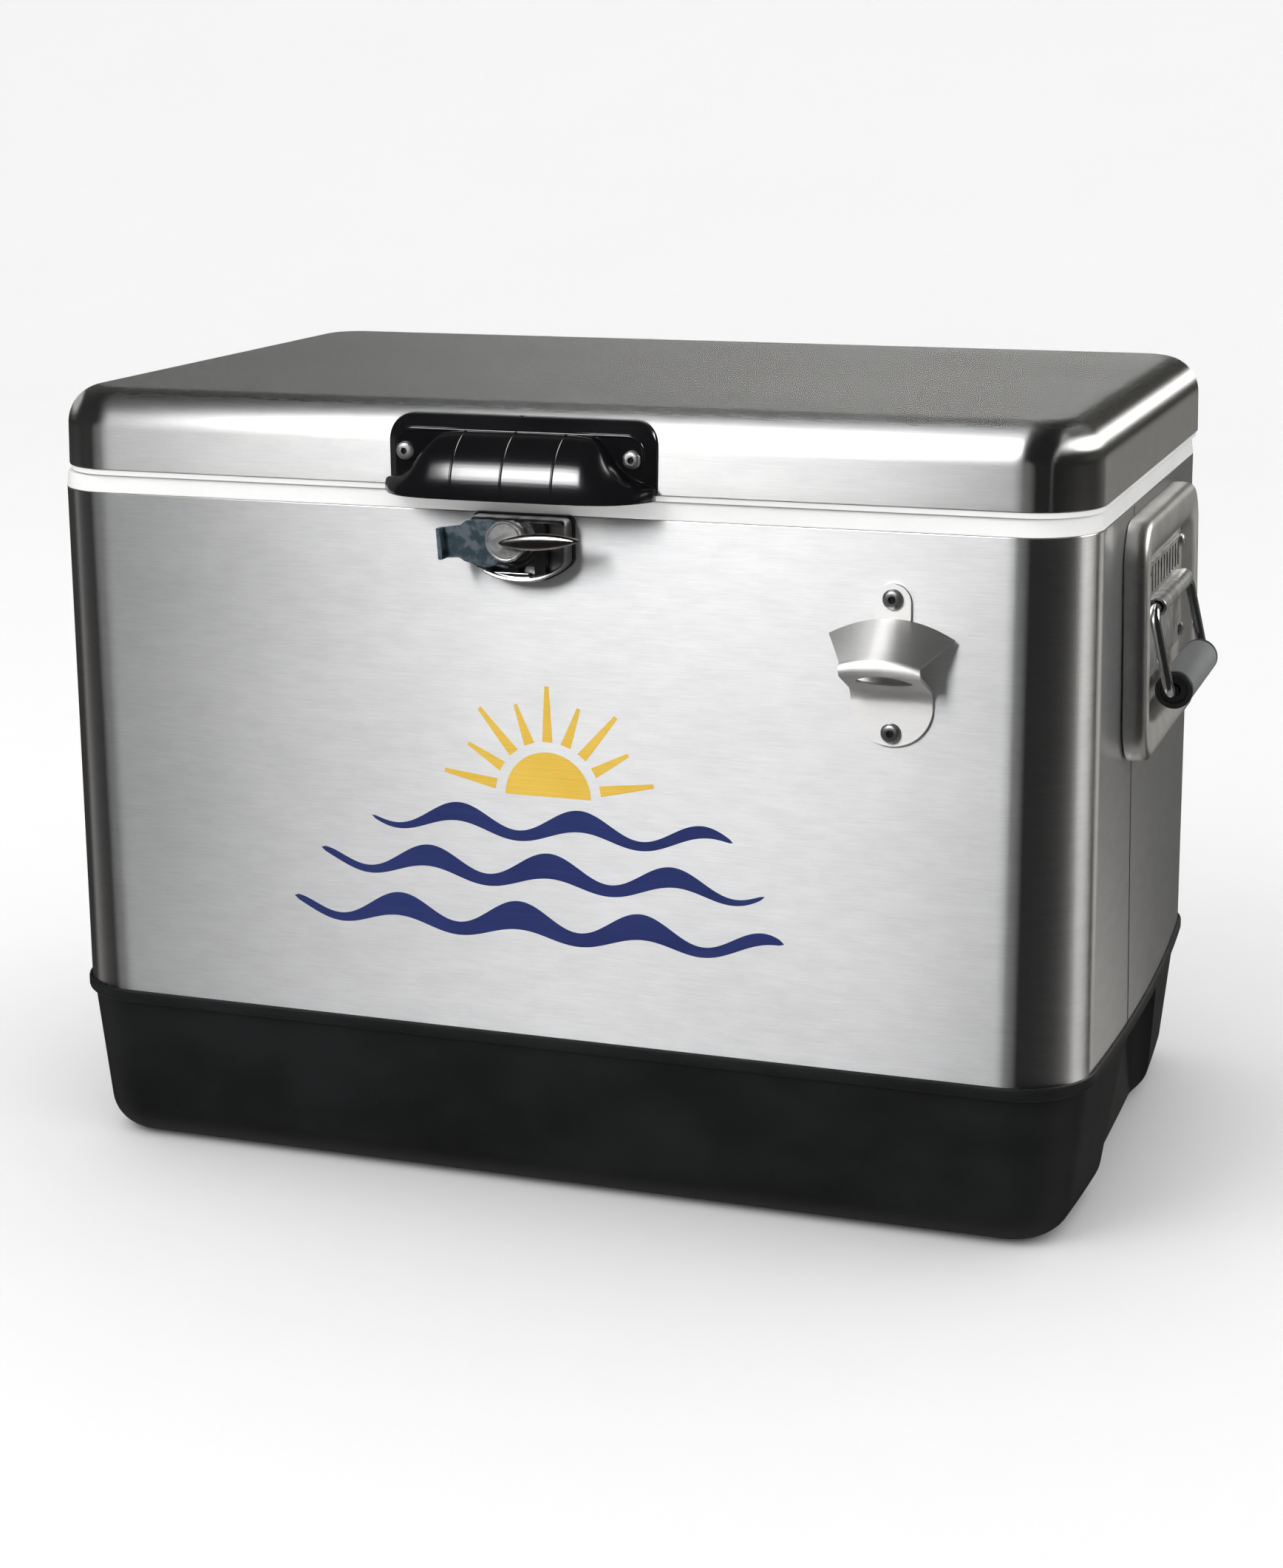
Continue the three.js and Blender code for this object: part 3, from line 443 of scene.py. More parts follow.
def prism(name, points, low, high, axis="-y"):
    """A flat outline in X and Z, standing from low to high off the front wall, or in Y and Z off an end."""
    place = {
        "-y": lambda a, b, off: (a, -WALL - off, b),
        "y": lambda a, b, off: (a, WALL + off, b),
        "x": lambda a, b, off: (off, a, b),
    }[axis]
    verts = [place(a, b, off) for off in (low, high) for a, b in points]
    count = len(points)
    faces = [(i, (i + 1) % count, count + (i + 1) % count, count + i) for i in range(count)]
    faces += [tuple(range(count))[::-1], tuple(range(count, 2 * count))]
    return mesh_object(name, verts, faces)


def arc_points(x, z, radius, start, end, steps):
    turns = [radians(start + (end - start) * k / steps) for k in range(steps + 1)]
    return [(x + radius * cos(t), z + radius * sin(t)) for t in turns]


def shoulders(half, top, radius, steps):
    """Two rounded upper corners about the middle of the grip and the latch."""
    right = arc_points(MIDDLE + half - radius, top - radius, radius, 0, 90, steps)
    return right + arc_points(MIDDLE - half + radius, top - radius, radius, 90, 180, steps)


def round_box(low_x, high_x, low_z, high_z, radius):
    """Rounded rectangle in two axes, counter-clockwise."""
    left, right, bottom, top = low_x + radius, high_x - radius, low_z + radius, high_z - radius
    points = []
    for start, x, z in ((0, right, top), (90, left, top), (180, left, bottom), (270, right, bottom)):
        points += arc_points(x, z, radius, start, start + 90, 6)
    return points


def swept(name, path, radius, sides=16):
    """A round wire along a path of points."""
    path = [Vector(p) for p in path]
    rings = []
    normal = None
    for i, point in enumerate(path):
        along = (path[min(i + 1, len(path) - 1)] - path[max(i - 1, 0)]).normalized()
        if normal is None:
            normal = along.orthogonal().normalized()
        normal = (normal - along * normal.dot(along)).normalized()
        across = along.cross(normal)
        turns = [2 * pi * k / sides for k in range(sides)]
        rings.append([tuple(point + radius * (cos(t) * normal + sin(t) * across)) for t in turns])
    return loft(name, rings, margin=0.1)


# ---- base tub, belt, liner


def body_ring(inset, z):
    bow = BOW * min(1, (TOP - z) / (TOP - RIM))
    return at_height(outline(HALF_X - inset, WALL - inset, CORNER - inset, bow), z)


def base_inset(z):
    return 0.7 + (RIM - z) * tan(TAPER)


def base_wall(inward, top):
    """The tub's wall, or one inside it: the rounded bottom edge and the straight rise above it."""
    radius = FOOT - inward
    centre = base_inset(FOOT) + FOOT / cos(TAPER)
    rings = []
    for step in range(13):
        turn = radians(90) + (TAPER - radians(90)) * step / 12
        rings.append(body_ring(centre - radius * cos(turn), FOOT - radius * sin(turn)))
    straight = 19.8
    for step in range(1, 5):
        z = straight + (top - straight) * step / 4
        rings.append(body_ring(base_inset(z) + inward / cos(TAPER), z))
    return rings


def hand_hold(side, grow):
    """The space under one end for the fingers, widening down, or the wall round it where it is grown."""
    centre, roof, fillet = side * 309, 80, 7
    rings = [(half, z, 0) for z, half in ((-5, 90), (30, 77.2), (60, 64.9), (roof, 56.4))]
    for step in range(1, 6):
        turn = radians(18 * step)
        inset = fillet * (1 - cos(turn))
        rings.append((54.5 - inset, roof + (fillet + grow) * sin(turn), inset))

    def level(half, z, inset):
        return at_height(outline(21 + grow - inset, half + grow, 14 + grow - inset, 0, centre, 10, 2, 4), z)

    return loft(f"scoop_{grow}_{side}", [level(*ring) for ring in rings])


def cavity_ring(out, z, pull=0):
    """The cavity drawn in by its draft as it goes down, and pulled in where its walls round to the floor."""
    shrink = (401.3 - z) * 0.018 + pull
    return at_height(outline(268 - shrink + out, 154 - shrink + out, 32 + out - pull), z)


def cavity_wall(out, top):
    rings = [cavity_ring(out, top)]
    reach = 14 + out
    for step in range(9):
        turn = radians(90 * step / 8)
        rings.append(cavity_ring(out, 80 - reach * sin(turn), reach * (1 - cos(turn))))
    return rings


def build_body():
    seat = 90.6
    outer = base_wall(0, 88.6)
    lip = ((0, 88.9), (-0.9, 89.4), (-1.6, 90.2), (-2, 91.4), (-2, 95.6), (-1.7, 96.6), (-1, 97.2))
    outer += [body_ring(inset, z) for inset, z in lip]
    outer += [body_ring(-0.35, 97), body_ring(-0.3, 96), body_ring(-0.3, seat)]
    tub = loft("tub", outer + base_wall(4, seat)[::-1])
    for side in (1, -1):
        pocket = boolean(loft("block", base_wall(0, seat)), hand_hold(side, 4), "INTERSECT")
        boolean(tub, pocket, "UNION")
        boolean(tub, hand_hold(side, 0))
    boolean(tub, bore(10, 250, 320, 48, "-x", DRAIN))
    finish(tub, BLACK, "chest", "base_tub", 30)

    hidden = 91
    rings = [body_ring(0, z) for z in [hidden] + [RIM + (TOP - RIM) * k / 14 for k in range(14)]]
    rings += [body_ring(0, 391.5), body_ring(0.2, TOP)]
    inner = [body_ring(0.7, z) for z in (TOP, 300, 200, RIM, hidden)]
    finish(loft("belt", rings + inner, closed=True), BELT, "chest", "body_belt")

    # The lap seam up the right end: a thin raised wire, coloured dark as painted shade along the lap's edge.
    low, high, seam_y = 97.6, 391.2, -60
    seam = []
    for z in [low + (high - low) * k / 12 for k in range(13)]:
        bow = BOW * (TOP - z) / (TOP - RIM)
        seam.append((HALF_X + 0.05 + bow * (1 - (seam_y / WALL) ** 2), seam_y, z))
    finish(swept("belt_seam", seam, 0.28, 8), SEAM_PAINTED_SHADE, "chest", None, 50)

    rings = cavity_wall(3, 398.3)[::-1]
    rings += [body_ring(3.3, 398.3), body_ring(3.3, 392.1), body_ring(0.3, 392.1), body_ring(0.1, 392.4)]
    rings += [body_ring(1, 400), body_ring(1.4, 400.8), body_ring(2.2, 401.3)]
    rings += [cavity_ring(2.2, 401.3), cavity_ring(0.9, 400.8), cavity_ring(0.2, 399.8)]
    rings += cavity_wall(0, 398.6)
    shell = loft("liner", rings)
    boolean(shell, bore(10, 248, 320, 48, "-x", DRAIN))
    finish(shell, WHITE, "chest", "inner_liner", 35)


# ---- lid


def lid_ring(inset, z):
    return at_height(outline(298.7 - inset, 188.7 - inset, 38 - inset, 0, 3, 18, 6, 10), z)


def lid_wall(inward, bottom, steps):
    """The lid's wall, or one inside it: the leaning side, and the rounded edge in a number of steps."""
    radius = LID_EDGE - inward
    spring = LID_TOP - LID_EDGE
    lean = (spring - LID_FOOT) * tan(radians(1.45))
    rings = [lid_ring(inward + lean * k / 3, bottom + (spring - bottom) * k / 3) for k in range(3)]
    for step in range(steps + 1):
        turn = radians(90 * step / steps)
        rings.append(lid_ring(lean + LID_EDGE - radius * cos(turn), spring + radius * sin(turn)))
    return rings


def plug_ring(inset, z):
    return at_height(outline(264.5 - inset, 151 - inset, 29 - inset, 0, 0, 18, 6, 10), z)


def build_lid():
    outer = lid_wall(0, 406, 16)
    edge = [lid_ring(0.5, LID_FOOT), lid_ring(0.15, 405.5)]
    inner = lid_wall(0.7, LID_FOOT, 8)[::-1]
    finish(loft("lid_top", inner + edge + outer), LID, "lid", "lid_pan")
    rings = [plug_ring(3, 388), plug_ring(1.2, 388.6), plug_ring(0.3, 389.8), plug_ring(0, 391.2)]
    rings += [plug_ring(0, 401.6), plug_ring(-0.5, 402.1)]
    rings += [lid_ring(1.8, 402.1), lid_ring(1.2, 402.3), lid_ring(1, 402.7), lid_ring(1, 405.1)]
    rings += [plug_ring(3, 405.1), plug_ring(3, 394), plug_ring(6, 391)]
    finish(loft("lid_inner", rings), WHITE, "lid", "lid_liner")


# ---- grip on the lid

# The grip bulges out from its flange, and is deepest and highest at its middle.
BULGE_DEPTH, BULGE_HEIGHT, BULGE_REACH = 26.4, 33.5, 76.5
BULGE_Y, BULGE_Z = -194, 403
DEPTH = [(0, 1), (22, 0.995), (42, 0.97), (54, 0.9), (62, 0.77), (70, 0.5), (BULGE_REACH, 0.12)]
HEIGHT = [(0, 1), (30, 0.995), (42, 0.97), (47, 0.9), (58, 0.48), (64, 0.33), (BULGE_REACH, 0.2)]


def smooth_between(table, x):
    """Value at x of a smooth curve through a falling table of (x, value), level at its first point."""
    keys, values = zip(*table)
    slopes = [(values[k + 1] - values[k]) / (keys[k + 1] - keys[k]) for k in range(len(keys) - 1)]
    inner = [2 * a * b / (a + b) if a * b > 0 else 0 for a, b in zip(slopes, slopes[1:])]
    lean = [0] + inner + [slopes[-1]]
    for k in range(len(slopes)):
        if x <= keys[k + 1] or k == len(slopes) - 1:
            span = keys[k + 1] - keys[k]
            t = min(max((x - keys[k]) / span, 0), 1)
            rise = values[k] * (1 + 2 * t) * (1 - t) ** 2 + values[k + 1] * t * t * (3 - 2 * t)
            return rise + span * (lean[k] * t * (1 - t) ** 2 - lean[k + 1] * t * t * (1 - t))


def bulge(name, thinner, reach, back, foot):
    """The grip's outside, or the finger pocket where it is thinner, as sections along X."""
    columns = 96
    rings = []
    for k in range(columns + 1):
        x = -reach + 2 * reach * k / columns
        station = abs(x) * BULGE_REACH / max(reach, 60) if thinner else abs(x)
        depth = (BULGE_DEPTH - thinner) * smooth_between(DEPTH, station)
        height = (BULGE_HEIGHT - thinner) * smooth_between(HEIGHT, abs(x))
        if thinner:
            beyond = max(0, abs(x) - 40)
            depth = max(depth - 2.5 * beyond / 10, 8)
            height = max(height - 3 * beyond / 10, 6)
        section = [(MIDDLE + x, back, foot), (MIDDLE + x, back, BULGE_Z + height)]
        for step in range(25):
            turn = radians(3.75 * step)
            section.append((MIDDLE + x, BULGE_Y - depth * sin(turn), BULGE_Z + height * cos(turn)))
        if foot < BULGE_Z:
            section.append((MIDDLE + x, BULGE_Y - depth, foot))
        rings.append(section)
    return loft(name, rings, margin=0.001)


def build_grip():
    def face(inset, top, radius):
        half = 77 - inset
        return [(MIDDLE - half, 405), (MIDDLE + half, 405)] + shoulders(half, top, radius, 12)

    stations = [(-178, 0, 444, 14), (-187, 0, 444, 14), (-189.5, 0.8, 443.2, 13.4), (-194, 6.2, 437.2, 10)]
    flange = loft("grip", [[(x, y, z) for x, z in face(i, t, r)] for y, i, t, r in stations], margin=0.001)
    boolean(flange, bulge("outside", 0, BULGE_REACH, -192, BULGE_Z), "UNION")
    boolean(flange, bulge("pocket", 3.2, 51, -178, 399))
    ledge = prism("ledge", [(-16.5, 408), (-0.5, 408), (-0.5, 411.5), (-16.5, 411.5)], 21.5, 32.5)
    boolean(flange, ledge, "UNION")
    melted(flange, 0.55, 5)
    boolean(flange, loft("lid_space", lid_wall(-0.4, 395.4, 16)))
    finish(flange, GLOSS, "lid", "lid_grip", 50)
    for number, x in enumerate((-34.3, -5.8, 22.7), 1):
        path = []
        for step in range(25):
            turn = radians(7 + 83 * (1 - step / 24))
            swell = -0.3 if step < 24 else -1.1
            depth = BULGE_DEPTH * smooth_between(DEPTH, abs(x - MIDDLE)) + swell
            height = BULGE_HEIGHT * smooth_between(HEIGHT, abs(x - MIDDLE)) + swell
            path.append((x, BULGE_Y - depth * cos(turn), BULGE_Z + height * sin(turn)))
        finish(swept(f"grip_rib_{number}", path, 0.85, 12), GLOSS, "lid", None, 60)
    # A bead that follows the flange's edge, and a small nub over its middle.
    end_x, end_z, corner_x, corner_z, bead_y = 70.2, 424, 61.2, 427.6, -193.9
    bead = [(MIDDLE - end_x, end_z)] + arc_points(MIDDLE - corner_x, corner_z, 9, 180, 90, 12)
    bead += arc_points(MIDDLE + corner_x, corner_z, 9, 90, 0, 12) + [(MIDDLE + end_x, end_z)]
    path = []
    for (x, z), (x2, z2) in zip(bead, bead[1:]):
        path += [(x + (x2 - x) * t, bead_y, z + (z2 - z) * t) for t in (0, 0.5)]
    line = swept("grip_bead", path + [(bead[-1][0], bead_y, bead[-1][1])], 0.85, 12)
    finish(line, GLOSS, "lid", None, 60)
    profile = [(0, -2), (1.6, -2), (1.5, 0.3), (0.9, 0.9), (0, 1)]
    finish(turned("grip_nub", profile, 16, "z", (MIDDLE, -187.5, 443.6)), GLOSS, "lid", None, 60)


# ---- rivets


def rivet(name, radius, height, axis, at, body, node, hole=0.3, place=None, material=None):
    """A blind rivet: a domed head, the hollow of its drawn mandrel coloured black as painted shade, and the
    mandrel's broken end.
    """
    hollow, flank = radius * hole, radius * 0.99
    profile = [(0, 0), (radius * 0.96, 0), (radius, 0.25), (flank, 0.55)]
    for step in range(1, 8):
        turn = radians(90 * step / 8)
        wide = hollow + (flank - hollow) * cos(turn) ** 0.8
        profile.append((wide, 0.55 + (height - 0.55) * sin(turn)))
    profile += [(hollow + 0.12, height - 0.05), (hollow, height - 0.3), (hollow * 0.92, height * 0.42)]
    profile += [(hollow * 0.5, height * 0.38), (hollow * 0.3, height * 0.5), (0, height * 0.54)]
    obj = turned(name, profile, 40, axis, at)
    flat = Vector([0 if letter in axis else 1 for letter in "xyz"])
    faces = obj.data.polygons
    # The faces that lie in the hollow, which are painted black below as its shade.
    inside = [face.index for face in faces if ((face.center - Vector(at)) * flat).length < hollow]
    if place:
        obj.data.transform(place)
    finish(obj, material or HEAD, body, node, 40)
    # The hollow's faces take the black plastic: painted shade for the shadow deep in the hole.
    obj.data.materials.append(DARK)
    for index in inside:
        obj.data.polygons[index].material_index = 1


# ---- latch


def shield(grow):
    """The latch's outline: square shoulders and a shallow pointed foot with its tip rounded."""
    half, foot, waist = 28 + grow, 356.6 - grow, 369
    points = shoulders(half, 391.5 + grow, 3.5, 6)

    def curve(a, b, c):
        for k in range(1, 9):
            t = k / 8
            near, middle, far = (1 - t) ** 2, 2 * t * (1 - t), t * t
            points.append(tuple(near * p + middle * q + far * r for p, q, r in zip(a, b, c)))

    left, right = MIDDLE - half, MIDDLE + half
    low_left, low_right = (MIDDLE - half * 0.45, foot + 1.4), (MIDDLE + half * 0.45, foot + 1.4)
    points.append((left, waist))
    curve((left, waist), (left + 1.5, 363.5), low_left)
    curve(low_left, (MIDDLE, foot - 1.4), low_right)
    curve(low_right, (right - 1.5, 363.5), (right, waist))
    return points


def build_latch():
    def ring(grow, off):
        return [(x, -WALL - off, z) for x, z in shield(grow)]

    plate = loft("latch_back", [ring(1, 0.3), ring(1.1, 1.2), ring(0.6, 2)])
    finish(plate, DARK, "chest", "latch_backplate", 40)
    stations = [(-0.3, 2.6), (0, 2.9), (0, 10.5), (-0.35, 12), (-1.2, 12.9), (-2.1, 12.6)]
    stations += [(-2.6, 11.6), (-2.8, 6), (-3.4, 4.7), (-4.6, 4.2)]
    pan = loft("latch_pan", [ring(g, o) for g, o in stations])
    turret = [(0, 3.6), (16.4, 3.6), (16.4, 7.6), (15.9, 8.3), (14.9, 8.3), (14.3, 7.6), (13.9, 7.6)]
    turret += [(13.4, 9.4), (12.9, 9.9), (11.9, 9.9), (11.4, 9.2), (11, 9.2), (10.4, 11), (9.6, 11.6)]
    turret += [(8.4, 11.8), (8, 12.4), (8, 15.2), (7.6, 15.5), (0, 15.5)]
    boss = turned("turret", turret, 64, "-y", PIVOT)
    boolean(boss, loft("inside", [ring(-1, 2.7), ring(-1, 17)]), "INTERSECT")
    boolean(pan, boss, "UNION")
    boolean(pan, bore(4.4, 0, 20, 40, "-y", PIVOT))
    finish(pan, CAST, "chest", "latch_housing", 35)
    profile = [(4.6, 15.8), (7.6, 15.8), (7.8, 16), (7.8, 16.4), (7.6, 16.6), (4.6, 16.6), (4.6, 15.8)]
    finish(turned("latch_washer", profile, 40, "-y", PIVOT), ZINC, "chest", "latch_spring_washer", 40)
    for level, x, z in (("upper", -27.2, 386.6), ("lower", -26.4, 367.6)):
        rivet(f"rivet_latch_{level}", 2.3, 1.4, "-y", (x, -190.4, z), "chest", f"latch_rivet_{level}")
    # A black block across the pan to the right of the turret, painted shade standing for the dark gap there,
    # and a tab and a lug at the pan's foot.
    for label, box, out, soft, material in (
        ("slot", (3.6, 10.2, 358.6, 390.2, 1.4), 9.4, 0.5, DARK),
        ("foot_tab", (-20.5, 1, 358.4, 361.4, 0.8), 10.6, 0.4, CHROME),
        ("foot_lug", (-11.5, -5.2, 360.2, 364.2, 0.8), 10, 0.4, DARK),
    ):
        trim = prism(f"latch_{label}", round_box(*box), 4.3, out)
        bevelled(trim, soft)
        finish(trim, material, "chest", None, 40)

    # The rotor is made with its axis at X = 0 and Z = 0, then turned to its stored angle.
    axis_at = (0, -WALL, 0)
    hang = Matrix.Translation(Vector((PIVOT[0], 0, PIVOT[2]))) @ Matrix.Rotation(radians(-4), 4, "Y")

    def on_rotor(obj):
        obj.data.transform(hang)
        return obj

    shape = [(-37.4, -8.2), (-27.5, -8.2), (-26, -9.6), (-24.6, -10.4), (-14, -13.8), (-9, -13.2), (-3, -10)]
    shape += [(4, -8.6), (5.9, -6), (5.9, 6), (4, 8.6), (-4, 10), (-9, 11.6), (-22.4, 11.4)]
    shape += [(-25.6, 9), (-37.4, 8.2)]
    tongue = prism("latch_tongue_plate", shape, 17.05, 18.95)
    lip = prism("lip", [(-37.4, -8.4), (-35.2, -8.4), (-35.2, 8.4), (-37.4, 8.4)], 17.5, 24.9)
    boolean(tongue, lip, "UNION")
    boolean(tongue, bore(4.4, 10, 30, 32, "-y", axis_at))
    bevelled(tongue, 0.4)
    finish(on_rotor(tongue), ZINC, "latch", "latch_tongue", 35)

    profile = [(0, 4.8), (4.1, 4.8), (4.1, 19.3), (10.9, 19.3), (11.2, 19.6), (11.2, 20.8)]
    profile += [(10.8, 21.3), (10.1, 21.35), (9.8, 21.1), (9.2, 21.1), (8.9, 21.4), (0, 21.45)]
    finish(on_rotor(turned("latch_boss", profile, 64, "-y", axis_at)), DISC, "latch", "latch_disc", 40)

    length, lever_out, last = 45.2, 25.1, 32
    rings = []
    for k in range(last + 1):
        t = k / last
        half = 0.35
        if 0 < k < last:
            half = 4.85 * sin(pi * min(1, 0.03 + 0.97 * t)) ** 0.62 * (1 - 0.12 * t)
        thick = 3.2 * (0.55 + 0.45 * sin(pi * t) ** 0.5)
        section = []
        for step in range(20):
            a = 2 * pi * step / 20
            squash = abs(cos(a)) ** 0.7 * copysign(1, cos(a))
            section.append((-1.3 + length * t, -WALL - lever_out - thick * squash, half * sin(a)))
        rings.append(section)
    finish(on_rotor(loft("latch_blade", rings, margin=0.3)), LEVER, "latch", "latch_lever", 50)


# ---- bottle opener


def build_opener():
    centre, wall = 199, -186.3
    ridge_half, ridge_out, ridge_z, roll, crown = 21.6, 24.4, 325.6, 5.4, 2.6
    columns = [sin(radians(-90 + 180 * k / 40)) for k in range(41)]

    def point(u, half, out, z):
        return (centre + half * u, wall - out, z)

    def level(half, out, z, arched=0):
        return [point(u, half, out, z + crown * (0.4 - u * u) * arched) for u in columns]

    # The hood spreads from the wall to a ridge, and the sheet rolls over it.
    rows = []
    steep, back = radians(38), radians(138)
    for k in range(17):
        row = []
        for u in columns:
            arch = u * u
            crest = ridge_z + roll * cos(steep) + crown * (0.4 - arch)
            start = np.array((33.6, 2.2 + 2 * arch, 347.2 - 9 * arch))
            end = np.array((ridge_half, ridge_out + roll * sin(steep), crest))
            half, out, z = start + (end - start) * (k / 16)
            row.append(point(u, half, out, z))
        rows.append(row)
    for k in range(1, 11):
        turn = steep + (back - steep) * k / 10
        out, z = ridge_out + roll * sin(turn), ridge_z + roll * cos(turn)
        rows.append(level(ridge_half, out, z, 1 - 0.5 * k / 10))
    # The sheet comes back to the wall, then bends softly down into the round-ended plate.
    start_out, start_z = out, z
    bend_out, bend_z = 6.4, 310.6
    plate_half, plate_out, plate_z = 22, 2, 301.4
    for k in range(1, 9):
        t = k / 8
        out, z = start_out + (bend_out - start_out) * t, start_z + (bend_z - start_z) * t
        rows.append(level(ridge_half + 0.3 * t, out, z, 0.5 * (1 - t)))
    for k in range(1, 9):
        t = k / 8
        out = (1 - t) ** 2 * bend_out + 2 * t * (1 - t) * 2 + t * t * 2
        z = (1 - t) ** 2 * bend_z + 2 * t * (1 - t) * 307 + t * t * 302.4
        rows.append(level(plate_half, out, z))
    for k in range(1, 17):
        turn = radians(90 * k / 16)
        rows.append(level(max(plate_half * cos(turn), 0.5), plate_out, plate_z - plate_half * sin(turn)))
    tab_half, tab_low, tab_high = 9.5, 346, 355.8
    tab = [level(tab_half, plate_out, tab_low + 9.8 * k / 8) for k in range(9)]
    for k in range(1, 13):
        turn = radians(90 * k / 12)
        tab.append(level(max(tab_half * cos(turn), 0.4), plate_out, tab_high + tab_half * sin(turn)))
    verts, faces = [], []
    for strip in (rows, tab[::-1]):
        for r, row in enumerate(strip):
            if r:
                for c in range(len(row) - 1):
                    a = len(verts) + c
                    faces.append((a - len(row), a - len(row) + 1, a + 1, a))
            verts.extend(row)
    opener = mesh_object("opener", verts, faces)
    solid = opener.modifiers.new("sheet", "SOLIDIFY")
    solid.thickness = 1.9
    solid.offset = -1
    apply_modifiers(opener)
    # The slot in the returning sheet is a lens, higher above its long line than below.
    lens, lens_z, lens_half = [], 316.6, 15.2
    for shares, rise in (([k / 16 for k in range(17)], 5), ([1 - k / 16 for k in range(1, 16)], -2.4)):
        for t in shares:
            lens.append((centre - lens_half + 2 * lens_half * t, lens_z + rise * sin(pi * t) ** 0.6))
    boolean(opener, prism("lens", lens, 5, 40))
    bevelled(opener, 0.35, 40)
    finish(opener, SHEET, "chest", "bottle_opener", 35)
    for name, z in (("top", 357.4), ("bottom", 286.6)):
        label = f"opener_rivet_{name}"
        rivet(f"rivet_opener_{name}", 5.5, 2.8, "-y", (centre, -188.6, z), "chest", label, 0.36)


# ---- handles


